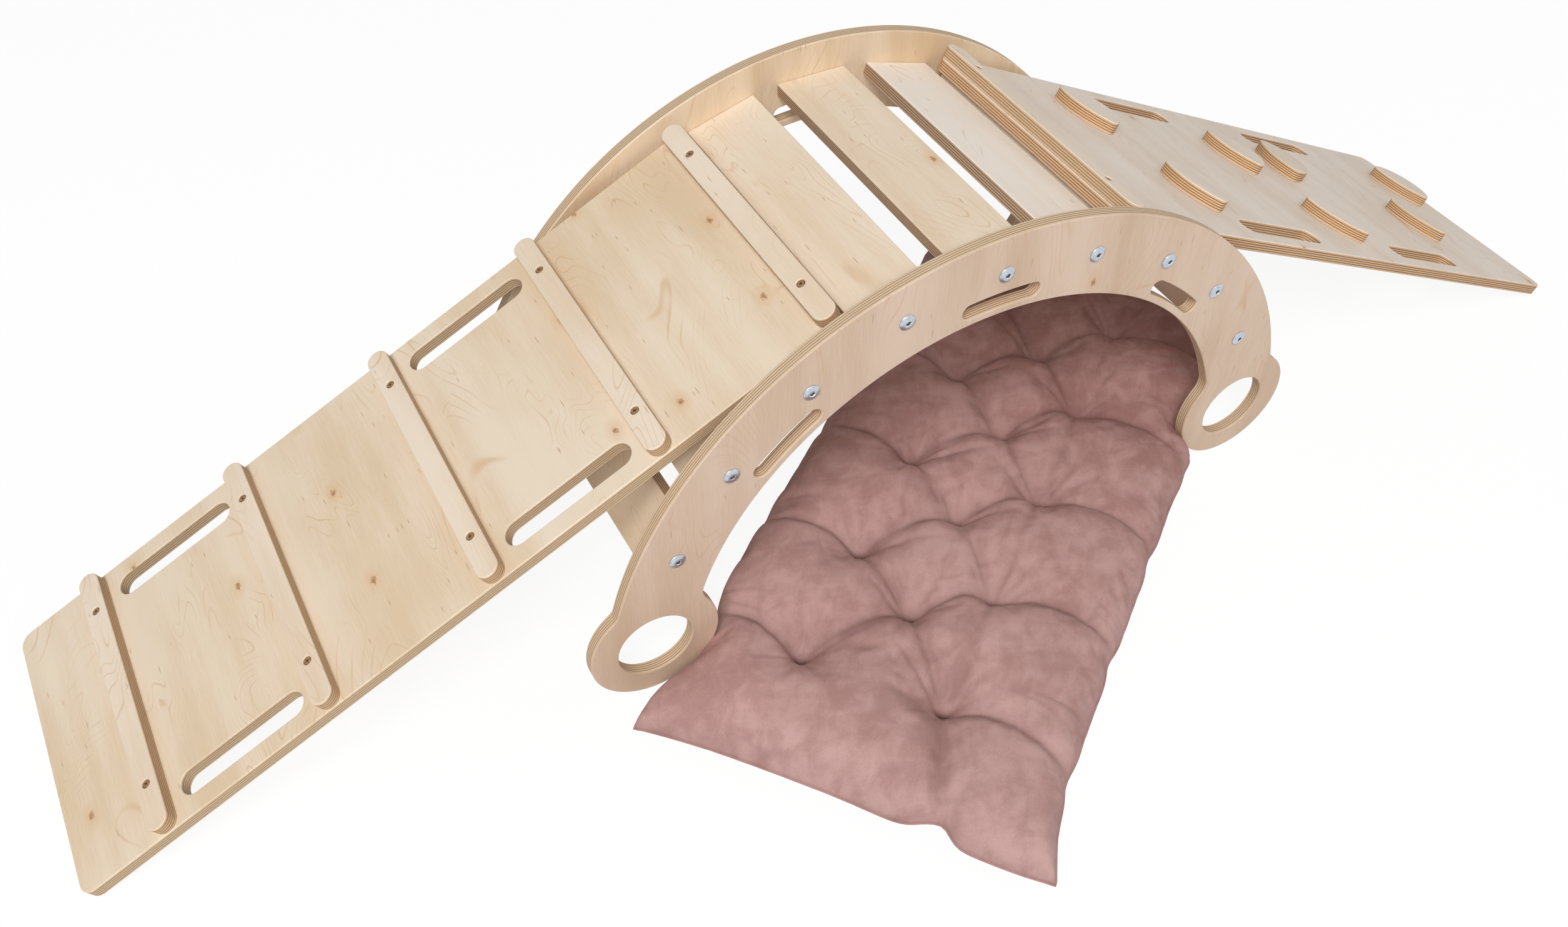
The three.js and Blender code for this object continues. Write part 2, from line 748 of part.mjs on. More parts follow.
// The whole set, centred over its footprint with the floor at z 0
function playSet() {
  const set = new THREE.Group();
  set.add(arch(), ladderRamp(), climbingRamp(), cushion());
  const box = new THREE.Box3().setFromObject(set, true);
  const centre = box.getCenter(new THREE.Vector3());
  set.position.set(-centre.x, -centre.y, -box.min.z);
  return set;
}

export default playSet();
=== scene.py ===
import math
import random

import bmesh
import bpy
import numpy as np
from mathutils import Matrix, Vector
from mathutils.geometry import delaunay_2d_cdt


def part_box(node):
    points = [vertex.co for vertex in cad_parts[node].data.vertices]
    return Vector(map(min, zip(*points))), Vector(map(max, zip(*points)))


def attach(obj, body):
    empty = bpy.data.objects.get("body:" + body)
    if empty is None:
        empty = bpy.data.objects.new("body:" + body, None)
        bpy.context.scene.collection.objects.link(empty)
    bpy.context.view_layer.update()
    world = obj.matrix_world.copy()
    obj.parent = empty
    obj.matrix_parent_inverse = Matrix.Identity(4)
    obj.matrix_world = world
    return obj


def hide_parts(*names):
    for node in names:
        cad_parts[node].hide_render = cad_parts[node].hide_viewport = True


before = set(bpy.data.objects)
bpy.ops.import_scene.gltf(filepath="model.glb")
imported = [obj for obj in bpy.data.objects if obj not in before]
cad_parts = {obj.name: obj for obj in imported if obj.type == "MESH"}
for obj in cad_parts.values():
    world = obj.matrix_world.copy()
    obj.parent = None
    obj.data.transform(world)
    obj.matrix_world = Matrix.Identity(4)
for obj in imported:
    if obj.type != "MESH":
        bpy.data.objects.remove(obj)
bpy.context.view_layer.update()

PI = math.pi
MM = 0.001
rand = random.Random(11)

# Sizes in millimetres, as in the solid model
PLY = 15.0
PLIES = 11
EASE = 1.5
GAP = 0.3
INNER_WIDTH = 370.0
OUTER_RADIUS = 445.5
INNER_RADIUS = 351.0
FOOT_RADIUS = 74.0
FOOT_REACH = 394.0
FOOT_ANGLE = math.radians(7.4)
FOOT_OUTER_FILLET = 12.0
FOOT_INNER_FILLET = 25.0
FOOT_HOLE = 43.0
FOOT_HOLE_DROP = 2.0
HAND_SLOT_RADIUS = 368.5
HAND_SLOT_WIDTH = 18.0
HAND_SLOT_LENGTH = 92.0
SLAT_PITCH = math.radians(16.16)
SLAT_RADIUS = 400.0
SLAT_COUNT = 9
SLAT_GAP = 28.6
SLAT_WIDTH = 2 * SLAT_RADIUS * math.tan(SLAT_PITCH / 2) - SLAT_GAP
SLAT_LENGTH = INNER_WIDTH - 2 * GAP
PALE_SLAT = 5
HAND_SLOT_PLACES = (-2.5, 0, 2.5)
HEAD_GAP = 0.15
NUT_INSET = 32.0
NUT_DROP = 6.4
NUT_PIT_RADIUS = 5.3
NUT_PIT_DEPTH = 4.0
BOARD_LENGTH = 920.0
BOARD_WIDTH = 350.0
BOARD_CORNER = 15.0
RUNG_WIDTH = 25.0
RUNG_PITCH = 200.0
RUNG_COUNT = 5
RAMP_SLOT_LENGTH = 150.0
RAMP_SLOT_WIDTH = 28.0
BOARD_END_CLEARANCE = 4.0
LADDER_SLOT_EDGE = 21.0
LADDER_SLOT_PLACES = (1.5, 3.5)
CLIMBING_SLOT_EDGE = 19.0
CLIMBING_SLOT_SHARES = (0.3294, 0.6826)
BATTEN_DEPTH = 20.0
BATTEN_INSET = 10.0
BATTEN_CLEARANCE = 3.0
BATTEN_SCREW_PITCH = 90.0
SCREW_HOLE_RADIUS = 4.4
SCREW_RECESS = 0.8
RUNG_SCREW_SPREAD = 120.0
HOLD_EASE = 1.2
HOLD_SCREW_DROP = 8.0
HOLD_SCREW_SPREAD = 20.0
HOLD_PIT_DEPTH = 3.0
HOLD_TIP_RADIUS = 8.0
HOLD_TIP_SPREAD = 36.0
HOLD_CROWN_RADIUS = 75.0
HOLD_BELLY_RADIUS = 44.5
# Each hold's place along and across its board, as shares of the board, and its turn in degrees
HOLD_SHARES = (
    (0.172, 0.238, -16.0),
    (0.211, -0.228, -13.0),
    (0.455, 0.151, -16.0),
    (0.575, 0.167, 9.5),
    (0.506, -0.281, -28.0),
    (0.920, 0.185, -22.0),
    (0.796, -0.139, -15.0),
)

# Where the arch stands, from the solid panels
near_box, far_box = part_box("near_side_panel"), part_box("far_side_panel")
ARCH_Y = (near_box[0].y + far_box[1].y) / 2 / MM
FOOT_HEIGHT = FOOT_REACH * math.sin(FOOT_ANGLE)
ARCH_Z = FOOT_RADIUS - FOOT_HEIGHT


# Outlines


def polar(radius, angle):
    return Vector((radius * math.cos(angle), radius * math.sin(angle)))


def near_turn(base, angle):
    return base + math.atan2(math.sin(angle - base), math.cos(angle - base))


def arc(centre, radius, start, end, step=math.radians(3)):
    count = max(2, round(abs(end - start) / step))
    return [polar(radius, start + (end - start) * i / count) + centre for i in range(count + 1)]


def loop(*stretches):
    """One closed run of points, without the ones that two stretches share."""
    points = [p for stretch in stretches for p in stretch]
    return [p for i, p in enumerate(points) if (p - points[i - 1]).length > 0.01]


def circle(x, y, radius, count=32):
    return [Vector((x, y)) + polar(radius, 2 * PI * i / count) for i in range(count)]


def rounded(length, width, radius, step=math.radians(9), x=0.0, y=0.0):
    corners = ((1, 1), (-1, 1), (-1, -1), (1, -1))
    return loop(
        *[
            arc(
                Vector((x + sx * (length / 2 - radius), y + sy * (width / 2 - radius))),
                radius,
                PI / 2 * i,
                PI / 2 * (i + 1),
                step,
            )
            for i, (sx, sy) in enumerate(corners)
        ]
    )


def foot_fillet(band, side, radius):
    """The small arc that eases the band into a foot; side is 1 outside the band and -1 inside it."""
    reach = band + side * radius
    span = FOOT_RADIUS + radius
    turn = math.acos((FOOT_REACH**2 + reach**2 - span**2) / (2 * FOOT_REACH * reach))
    angle = FOOT_ANGLE + turn
    centre = polar(reach, angle)
    foot = polar(FOOT_REACH, FOOT_ANGLE)
    on_band = angle - PI if side > 0 else angle
    to_foot = foot - centre
    from_foot = centre - foot
    return {
        "centre": centre,
        "angle": angle,
        "on_band": on_band,
        "on_foot": near_turn(on_band, math.atan2(to_foot.y, to_foot.x)),
        "from_foot": near_turn(-PI / 2, math.atan2(from_foot.y, from_foot.x)),
    }


def panel_rim():
    """Outline about the arch's centre: the right half from the top round the foot, then its mirror."""
    middle = Vector((0, 0))
    foot = polar(FOOT_REACH, FOOT_ANGLE)
    outer = foot_fillet(OUTER_RADIUS, 1, FOOT_OUTER_FILLET)
    inner = foot_fillet(INNER_RADIUS, -1, FOOT_INNER_FILLET)
    fine = math.radians(1.5)
    coarse = math.radians(8)
    half = (
        arc(middle, OUTER_RADIUS, PI / 2, outer["angle"], fine)
        + arc(outer["centre"], FOOT_OUTER_FILLET, outer["on_band"], outer["on_foot"], coarse)
        + arc(foot, FOOT_RADIUS, outer["from_foot"], inner["from_foot"])
        + arc(inner["centre"], FOOT_INNER_FILLET, inner["on_foot"], inner["on_band"], coarse)
        + arc(middle, INNER_RADIUS, inner["angle"], PI / 2, fine)
    )
    return loop(half, [Vector((-p.x, p.y)) for p in reversed(half)])


def hand_slot(from_top):
    """Slot that follows the band, its middle at an angle from the top of the arch."""
    middle = Vector((0, 0))
    half = HAND_SLOT_WIDTH / 2
    turn = (HAND_SLOT_LENGTH - HAND_SLOT_WIDTH) / 2 / HAND_SLOT_RADIUS
    start = PI / 2 - from_top - turn
    end = PI / 2 - from_top + turn
    fine = math.radians(1.5)
    cap = math.radians(10)
    return loop(
        arc(middle, HAND_SLOT_RADIUS + half, start, end, fine),
        arc(polar(HAND_SLOT_RADIUS, end), half, end, end + PI, cap),
        arc(middle, HAND_SLOT_RADIUS - half, end, start, fine),
        arc(polar(HAND_SLOT_RADIUS, start), half, start + PI, start + 2 * PI, cap),
    )


def hold_rim():
    crown_sink = math.sqrt((HOLD_CROWN_RADIUS - HOLD_TIP_RADIUS) ** 2 - HOLD_TIP_SPREAD**2)
    belly_rise = math.sqrt((HOLD_BELLY_RADIUS - HOLD_TIP_RADIUS) ** 2 - HOLD_TIP_SPREAD**2)
    crown = math.atan2(HOLD_TIP_SPREAD, crown_sink)
    belly = math.atan2(HOLD_TIP_SPREAD, -belly_rise)
    fine, cap = math.radians(3), math.radians(9)
    return loop(
        arc(Vector((crown_sink, 0)), HOLD_CROWN_RADIUS, PI - crown, PI + crown, fine),
        arc(Vector((0, -HOLD_TIP_SPREAD)), HOLD_TIP_RADIUS, PI + crown, PI + belly, cap),
        arc(Vector((-belly_rise, 0)), HOLD_BELLY_RADIUS, belly - PI, PI - belly, fine),
        arc(Vector((0, HOLD_TIP_SPREAD)), HOLD_TIP_RADIUS, PI - belly, PI - crown, cap),
    )


# Pieces cut from sheet


def facing(points, ccw):
    area = sum(a.x * b.y - b.x * a.y for a, b in zip(points, points[1:] + points[:1]))
    return list(points) if (area > 0) == ccw else list(reversed(points))


def edge_normals(points):
    """Away from the material, which is on the loop's left, at each point, and each mitre's reach."""
    found = []
    for i, p in enumerate(points):
        before = (p - points[i - 1]).normalized()
        after = (points[(i + 1) % len(points)] - p).normalized()
        mean = (Vector((before.y, -before.x)) + Vector((after.y, -after.x))).normalized()
        found.append((mean, 1 / max(0.5, mean.dot(Vector((after.y, -after.x))))))
    return found


def mesh_piece(name, verts, faces, normals=None, grain=None):
    mesh = bpy.data.meshes.new(name)
    mesh.from_pydata([tuple(c * MM for c in v) for v in verts], [], faces)
    mesh.polygons.foreach_set("use_smooth", [True] * len(mesh.polygons))
    if grain is not None:
        values = np.array(grain, np.float32).ravel()
        mesh.attributes.new("grain", "FLOAT_VECTOR", "POINT").data.foreach_set("vector", values)
    if normals is not None:
        mesh.normals_split_custom_set_from_vertices(normals)
    piece = bpy.data.objects.new(name, mesh)
    bpy.context.scene.collection.objects.link(piece)
    return piece


def inside(p, ring):
    """Whether a point lies inside a ring, which a ray from it then crosses an odd number of times."""
    crossings = 0
    for i, b in enumerate(ring):
        a = ring[i - 1]
        if (a.y > p.y) != (b.y > p.y) and p.x < a.x + (p.y - a.y) * (b.x - a.x) / (b.y - a.y):
            crossings += 1
    return crossings % 2 == 1


def filled(rings):
    """Triangles inside the first ring and outside the others, as numbers of the rings' points."""
    points, owner, links = [], [], []
    for number, ring in enumerate(rings):
        first = len(points)
        links += [(first + i, first + (i + 1) % len(ring)) for i in range(len(ring))]
        points += ring
        owner += [number] * len(ring)
    _, _, found, sources, _, _ = delaunay_2d_cdt(points, links, [], 1, 1e-6)
    triangles = []
    for face in found:
        a, b, c = (sources[i][0] for i in face)
        hole = owner[a] if owner[a] == owner[b] == owner[c] else 0
        if not hole or not inside((points[a] + points[b] + points[c]) / 3, rings[hole]):
            triangles.append((a, b, c))
    return triangles


def plate(name, rim, holes=(), pits=(), thickness=PLY, ease=EASE, across=False):
    """A piece cut from sheet with eased arrises, its middle at z 0.

    pits are blind holes in one face, as (loop, side, depth).
    """
    half, steps = thickness / 2, 4
    curve = []
    for k in range(steps + 1):
        a = PI / 2 * k / steps
        curve.append((ease * (1 - math.sin(a)), half - ease + ease * math.cos(a), math.sin(a), math.cos(a)))
    curve += [(inset, -z, flat, -up) for inset, z, flat, up in reversed(curve)]
    verts, normals, faces = [], [], []
    top, bottom = [], []
    for points in [facing(rim, True)] + [facing(h, False) for h in holes]:
        sides, count, first = edge_normals(points), len(points), len(verts)
        for inset, z, flat, up in curve:
            for p, (n, reach) in zip(points, sides):
                q = p - n * inset * reach
                verts.append((q.x, q.y, z))
                normals.append((n.x * flat, n.y * flat, up))
        for k in range(len(curve) - 1):
            for i in range(count):
                a, b = first + k * count + i, first + k * count + (i + 1) % count
                faces.append((a, a + count, b + count, b))
        top.append(list(range(first, first + count)))
        last = first + (len(curve) - 1) * count
        bottom.append(list(range(last, last + count)))
    for points, side, depth in pits:
        points, count, first = facing(points, False), len(points), len(verts)
        middle = sum(points, Vector((0, 0))) / count
        for z, up in ((half, 1), (half, 0), (half - depth, 0), (half - depth, 1)):
            for p in points:
                inward = (middle - p).normalized() * (1 - up)
                verts.append((p.x, p.y, side * z))
                normals.append((inward.x, inward.y, side * up))
        wall = first + count
        for i in range(count):
            j = (i + 1) % count
            quad = (wall + i, wall + count + i, wall + count + j, wall + j)
            faces.append(quad if side > 0 else tuple(reversed(quad)))
        floor = list(range(first + 3 * count, first + 4 * count))
        faces.append(tuple(reversed(floor)) if side > 0 else tuple(floor))
        (top if side > 0 else bottom).append(list(range(first, first + count)))
    for rings, up in ((top, 1), (bottom, -1)):
        index = [i for ring in rings for i in ring]
        for a, b, c in filled([[Vector(verts[i][:2]) for i in ring] for ring in rings]):
            faces.append((index[a], index[b], index[c]) if up > 0 else (index[a], index[c], index[b]))
    dx, dy = rand.uniform(0, 9), rand.uniform(0, 9)
    grain = [((y if across else x) * MM + dx, (x if across else y) * MM + dy, z * MM) for x, y, z in verts]
    return mesh_piece(name, verts, faces, normals, grain)


def put(piece, matrix, body, material, slot, *nodes):
    piece.matrix_world = matrix
    piece.data.materials.append(material)
    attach(piece, body)
    if nodes:
        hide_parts(*nodes)
    return piece


def placing(origin, x, y, z):
    """A matrix from an origin in millimetres and three directions."""
    columns = Matrix((Vector(x), Vector(y), Vector(z))).transposed().to_4x4()
    return Matrix.Translation(Vector(origin) * MM) @ columns


def shifted(matrix, x=0.0, y=0.0, z=0.0, turn=0.0):
    return matrix @ Matrix.Translation(Vector((x, y, z)) * MM) @ Matrix.Rotation(turn, 4, "Z")


# Shader kit


def rgb(r, g, b):
    """A colour as it is seen, each part from 0 to 255, in the shader's linear values."""
    parts = [c / 255 for c in (r, g, b)]
    return tuple(((c + 0.055) / 1.055) ** 2.4 if c > 10 / 255 else c / 12.92 for c in parts) + (1.0,)


class Value:
    """A shader value that ordinary sums can be written with."""

    def __init__(self, shader, socket):
        self.shader, self.socket = shader, socket

    def __add__(self, other):
        return self.shader.maths("ADD", self, other)

    def __sub__(self, other):
        return self.shader.maths("SUBTRACT", self, other)

    def __rsub__(self, other):
        return self.shader.maths("SUBTRACT", other, self)

    def __mul__(self, other):
        return self.shader.maths("MULTIPLY", self, other)

    def __truediv__(self, other):
        return self.shader.maths("DIVIDE", self, other)

    def __pow__(self, other):
        return self.shader.maths("POWER", self, other)

    __radd__, __rmul__ = __add__, __mul__


class Shader:
    """A material with one shader node, whose inputs are fed by sums of Values."""

    def __init__(self, name, **constants):
        self.material = bpy.data.materials.new(name)
        self.material.use_nodes = True
        self.tree = self.material.node_tree
        self.main = self.tree.nodes["Principled BSDF"]
        for key, value in constants.items():
            self.main.inputs[key.replace("_", " ")].default_value = value

    def node(self, kind, output=0, inputs=(), **settings):
        made = self.tree.nodes.new(kind)
        for key, value in settings.items():
            setattr(made, key, value)
        for key, value in dict(inputs).items():
            self.feed(made.inputs[key], value)
        return Value(self, made.outputs[output])

    def feed(self, socket, value):
        if isinstance(value, Value):
            self.tree.links.new(value.socket, socket)
        else:
            socket.default_value = value

    def maths(self, operation, *values):
        return self.node("ShaderNodeMath", 0, enumerate(values), operation=operation)

    def step(self, value, low, high):
        """0 below low, 1 above high, smooth between."""
        pairs = {"Value": value, "From Min": low, "From Max": high}
        return self.node("ShaderNodeMapRange", 0, pairs, interpolation_type="SMOOTHSTEP")

    def mix(self, share, first, second):
        return self.node("ShaderNodeMix", 2, {0: share, 6: first, 7: second}, data_type="RGBA")

    def vector(self, x, y, z):
        return self.node("ShaderNodeCombineXYZ", 0, {0: x, 1: y, 2: z})

    def parts(self, vector):
        made = self.tree.nodes.new("ShaderNodeSeparateXYZ")
        self.feed(made.inputs[0], vector)
        return [Value(self, made.outputs[i]) for i in range(3)]

    def noise(self, vector, scale, detail=2.0, roughness=0.5, distortion=0.0, dimensions="3D"):
        pairs = {
            "Vector": vector,
            "Scale": scale,
            "Detail": detail,
            "Roughness": roughness,
            "Distortion": distortion,
        }
        return self.node("ShaderNodeTexNoise", 0, pairs, noise_dimensions=dimensions)

    def cells(self, x, y):
        """Scattered points on a plane: how far the nearest one is, and a random number of its own."""
        found = self.tree.nodes.new("ShaderNodeTexVoronoi")
        found.voronoi_dimensions = "2D"
        found.inputs["Scale"].default_value = 1.0
        self.feed(found.inputs["Vector"], self.vector(x, y, 0.0))
        return Value(self, found.outputs["Distance"]), self.parts(Value(self, found.outputs["Color"]))[0]

    def attribute(self, name, output="Vector"):
        return self.node("ShaderNodeAttribute", output, attribute_name=name)

    def bump(self, height, distance, strength=1.0):
        pairs = {"Height": height, "Distance": distance, "Strength": strength}
        self.feed(self.main.inputs["Normal"], self.node("ShaderNodeBump", 0, pairs))


def plywood(name, pale, warm, knots, edge):
    """Birch plywood: faint swirls, flecks and small knots on its faces, eleven plies on its edges."""
    edge_pale, edge_dark, stripes = edge
    s = Shader(name, Specular_IOR_Level=0.35)
    gx, gy, z = s.parts(s.attribute("grain"))
    depth = (z / (PLY * MM) + 0.5) * PLIES
    layer = s.maths("FLOOR", depth * 0.999)
    x, y = gx + layer * 7.3, gy + layer * 4.1

    def wood(along, across, detail=2.0, roughness=0.5, distortion=0.0):
        return s.noise(s.vector(x * along, y * across, 0.0), 1.0, detail, roughness, distortion, "2D")

    # small brown knots
    near, chance = s.cells(x * 7, y * 11)
    some = s.step(chance, 1 - knots, 1.02 - knots)
    eye = (1 - s.step(near + wood(420, 420) * 0.07, 0.045, 0.08)) * some
    halo = (1 - s.step(near, 0.03, 0.16)) * some
    # growth swirls: level lines of a slow field that bends round the knots
    field = (wood(3.0, 8.0, 2.0, 0.45, 0.7) + (1 - s.step(near, 0.0, 0.6)) * some * 0.12) * 26
    line = 1 - s.step(s.maths("PINGPONG", field, 0.5), 0.0, 0.1)
    line = line * s.step(wood(9, 16), 0.46, 0.7)
    # short flecks along the grain
    dash, pick = s.cells(x * 42, y * 300)
    fleck = (1 - s.step(dash, 0.08, 0.22)) * s.step(pick, 0.984, 0.986)
    dash, pick = s.cells(x * 21, y * 210)
    fleck = s.maths("MAXIMUM", fleck, (1 - s.step(dash, 0.06, 0.17)) * s.step(pick, 0.985, 0.987))
    cloud = wood(3.2, 6.5, 3.0)
    band = wood(1.5, 30, 3.0)
    fibre = wood(30, 620, 3.0, 0.6)
    share = s.step(cloud * 0.6 + band * 0.4 + fibre * 0.22, 0.42, 0.86)
    face = s.mix(share, pale, warm)
    face = s.mix(line * 0.48, face, rgb(210, 166, 116))
    face = s.mix(halo * 0.35, face, rgb(220, 178, 126))
    face = s.mix(fleck * 0.5, face, rgb(172, 122, 80))
    face = s.mix(eye * 0.8, face, rgb(164, 108, 64))
    # edges: every other ply shows its dark end grain between two pale ones, the two outer ones faintly
    inner = 1 - s.step(s.maths("ABSOLUTE", z), PLY * MM * 0.37, PLY * MM * 0.41) * 0.7
    odd = (1 - s.step(s.maths("PINGPONG", (depth - 0.5) / 2, 0.5), 0.11, 0.24)) * inner
    fuzz = s.noise(s.vector(gx * 90, gy * 90, z * 400), 1.0, 2.0, 0.6)
    tone = s.noise(s.vector(gx * 12, gy * 12, layer * 2), 1.0, 2.0)
    dark = odd * (0.62 + tone * 0.5) + fuzz * 0.16
    sawn = s.mix(dark * stripes, edge_pale, edge_dark)
    outer = s.step(s.maths("ABSOLUTE", z), PLY * MM * 0.425, PLY * MM * 0.43)
    s.feed(s.main.inputs["Base Color"], s.mix(outer, sawn, face))
    s.feed(s.main.inputs["Roughness"], 0.46 + fibre * 0.14 + (1 - outer) * 0.14)
    s.bump(fibre * 0.5 - eye * 0.6 - (1 - outer) * odd * 0.6, 0.00025, 0.45)
    return s.material


def metal(name, pale, dark, roughness):
    """Plated steel, faintly scratched, with painted shade and some darker oxide down in its sockets."""
    s = Shader(name, Metallic=1.0)
    recess = s.attribute("recess", "Fac")
    place = s.node("ShaderNodeTexCoord", "Object")
    cloud = s.noise(place, 400.0, 3.0)
    scratch = s.noise(place, 3000.0, 2.0, 0.7)
    plating = s.mix(s.step(cloud + scratch * 0.3, 0.35, 0.9), pale, dark)
    # painted shade: the recess mask mixes sunk socket points towards near black
    s.feed(s.main.inputs["Base Color"], s.mix(recess * 0.9, plating, rgb(50, 42, 40)))
    s.feed(s.main.inputs["Roughness"], roughness + cloud * 0.2 + recess * 0.3)
    s.bump(scratch, 0.00005, 0.4)
    return s.material


def velvet_cloth(name, pale, deep, sheen=0.08):
    """Short pile that lies this way and that, so that soft patches look brushed, with painted shade towards
    the far end and in the pits and creases.
    """
    s = Shader(name, Roughness=0.92, Specular_IOR_Level=0.12, Sheen_Weight=sheen, Sheen_Roughness=0.35)
    s.main.inputs["Sheen Tint"].default_value = rgb(232, 196, 190)
    place = s.node("ShaderNodeTexCoord", "Object")
    x, y, z = s.parts(place)
    broad = s.noise(place, 8.0, 4.0, 0.6, 0.8)
    stroke = s.noise(s.vector(x * 26 + y * 9, y * 40 - x * 12, z * 26), 1.0, 4.0, 0.62, 0.5)
    swipe = s.noise(s.vector(x * 9 - y * 14, y * 20 + x * 30, z * 20), 1.0, 3.0, 0.55, 0.9)
    pile = s.noise(place, 1100.0, 2.0, 0.6)
    lay = broad * 0.36 + stroke * 0.36 + swipe * 0.28
    # painted shade: the cloth grows darker towards the cushion's far end, which lies under the arch
    turned = s.step(x, -0.3, 0.4) * 0.34
    share = s.step(lay, 0.4, 0.62) * 0.46 + pile * 0.6 - 0.1 + turned
    cloth = s.mix(share, pale, deep)
    painted_pit_crease_shade = s.attribute("painted_pit_crease_shade", "Fac")
    # painted shade from the pit and crease mask darkens the cloth towards dark brown
    s.feed(s.main.inputs["Base Color"], s.mix(painted_pit_crease_shade * 0.8, cloth, rgb(84, 50, 48)))
    s.bump(pile + stroke * 2, 0.0005, 0.4)
    return s.material


# Sawn edges: the pale plies, the dark plies and how strongly they show
PANEL_EDGE = (rgb(224, 198, 166), rgb(128, 94, 68), 0.75)
SLAT_EDGE = (rgb(204, 174, 142), rgb(104, 72, 52), 0.9)
LADDER_EDGE = (rgb(218, 192, 158), rgb(122, 88, 62), 0.8)
CLIMBING_EDGE = (rgb(218, 182, 142), rgb(122, 78, 48), 0.95)
HOLD_EDGE = (rgb(222, 184, 140), rgb(122, 78, 48), 0.95)
RUNG_EDGE = (rgb(218, 186, 148), rgb(126, 88, 60), 0.85)

panel_ply = plywood("birch_panel_plywood", rgb(225, 201, 180), rgb(207, 177, 150), 0.1, PANEL_EDGE)
far_panel_ply = plywood("birch_far_panel_plywood", rgb(240, 219, 192), rgb(222, 193, 156), 0.1, PANEL_EDGE)
slat_ply = plywood("birch_slat_plywood", rgb(240, 223, 201), rgb(226, 200, 168), 0.2, SLAT_EDGE)
pale_slat_ply = plywood("birch_pale_slat_plywood", rgb(248, 238, 226), rgb(238, 223, 206), 0.05, SLAT_EDGE)
ladder_ply = plywood("birch_ladder_plywood", rgb(238, 221, 198), rgb(224, 199, 166), 0.5, LADDER_EDGE)
# partly painted light: the climbing board's base is paler than the ladder's to make up for the light it
# loses facing away from the key lamp
climbing_ply = plywood("birch_climbing_plywood", rgb(242, 228, 214), rgb(228, 210, 191), 0.1, CLIMBING_EDGE)
hold_ply = plywood("birch_hold_plywood", rgb(242, 228, 214), rgb(228, 210, 191), 0.1, HOLD_EDGE)
rung_ply = plywood("birch_rung_plywood", rgb(240, 224, 204), rgb(228, 204, 175), 0.06, RUNG_EDGE)
zinc = metal("blue_zinc_steel", rgb(214, 222, 230), rgb(182, 191, 202), 0.26)
screw_metal = metal("yellow_screw_steel", rgb(186, 150, 112), rgb(140, 104, 74), 0.4)
velvet = velvet_cloth("dusty_rose_velvet", rgb(208, 170, 165), rgb(154, 113, 107))
welt_velvet = velvet_cloth("dusty_rose_velvet_seam", rgb(190, 151, 146), rgb(152, 112, 106), 0.12)


# Arch

place_near = placing((0, near_box[0].y / MM + PLY / 2, ARCH_Z), (1, 0, 0), (0, 0, 1), (0, -1, 0))
place_far = placing((0, far_box[1].y / MM - PLY / 2, ARCH_Z), (1, 0, 0), (0, 0, 1), (0, -1, 0))
foot_hole = polar(FOOT_REACH, FOOT_ANGLE) - Vector((0, FOOT_HOLE_DROP))
panel_holes = [hand_slot(place * SLAT_PITCH) for place in HAND_SLOT_PLACES]
panel_holes += [circle(side * foot_hole.x, foot_hole.y, FOOT_HOLE, 96) for side in (1, -1)]
for side, place, veneer in (("near", place_near, panel_ply), ("far", place_far, far_panel_ply)):
    panel = plate(f"{side}_panel", panel_rim(), panel_holes, across=True)
    put(panel, place, "arch", veneer, "panel_plywood", f"{side}_side_panel")

SLAT_ANGLES = [(i - (SLAT_COUNT - 1) / 2) * SLAT_PITCH for i in range(SLAT_COUNT)]
nut_pits = []
for side in (1, -1):
    pit = circle(side * (INNER_WIDTH / 2 - NUT_INSET), 0, NUT_PIT_RADIUS, 24)
    nut_pits.append((pit, -1, NUT_PIT_DEPTH))
for i, angle in enumerate(SLAT_ANGLES):
    sin, cos = math.sin(angle), math.cos(angle)
    origin = (SLAT_RADIUS * sin, ARCH_Y, SLAT_RADIUS * cos + ARCH_Z)
    place = placing(origin, (0, -1, 0), (cos, 0, -sin), (sin, 0, cos))
    slat = plate(f"slat_board_{i + 1}", rounded(SLAT_LENGTH, SLAT_WIDTH, EASE, PI / 4), (), nut_pits)
    veneer = pale_slat_ply if i == PALE_SLAT else slat_ply
    put(slat, place, "arch", veneer, "slat_plywood", f"slat_{i + 1}")


def turned_piece(name, profile, shape=None, count=36):
    """A piece turned about z from a profile of (radius, height).

    Where a radius is negative, shape gives the ring's outline instead of a circle.
    """
    verts, faces, first = [], [], []
    for radius, height in profile:
        first.append(len(verts))
        for i in range(count):
            a = 2 * PI * i / count
            r = radius if radius >= 0 else shape(a, -radius)
            verts.append((r * math.cos(a), r * math.sin(a), height))
    for k in range(len(profile) - 1):
        for i in range(count):
            j = (i + 1) % count
            faces.append((first[k] + i, first[k] + j, first[k + 1] + j, first[k + 1] + i))
    faces.append(tuple(reversed(range(first[0], first[0] + count))))
    faces.append(tuple(range(first[-1], first[-1] + count)))
    piece = mesh_piece(name, verts, faces)
    piece.data.polygons.foreach_set("use_smooth", [False] * len(piece.data.polygons))
    # sunk ring points form the recess mask, which the metal uses to paint shade in the socket
    sunk = [radius < 0 and height < -0.05 for radius, height in profile]
    deep = np.repeat(np.array(sunk, np.float32), count)
    piece.data.attributes.new("recess", "FLOAT", "POINT").data.foreach_set("value", deep)
    return piece


def smooth_by_angle(piece, degrees=32):
    bm = bmesh.new()
    bm.from_mesh(piece.data)
    for edge in bm.edges:
        edge.smooth = edge.calc_face_angle(0) < math.radians(degrees)
    for face in bm.faces:
        face.smooth = True
    bm.to_mesh(piece.data)
    bm.free()
    return piece


def hexagon(a, flat):
    return flat / math.cos((a + PI / 6) % (PI / 3) - PI / 6)


def cross(a, arm):
    return arm * (0.36 + 0.64 * abs(math.cos(2 * a)) ** 6)


def driver_slot(a, radius, half_width=0.8):
    return min(radius, half_width / max(0.05, abs(math.sin(a))))


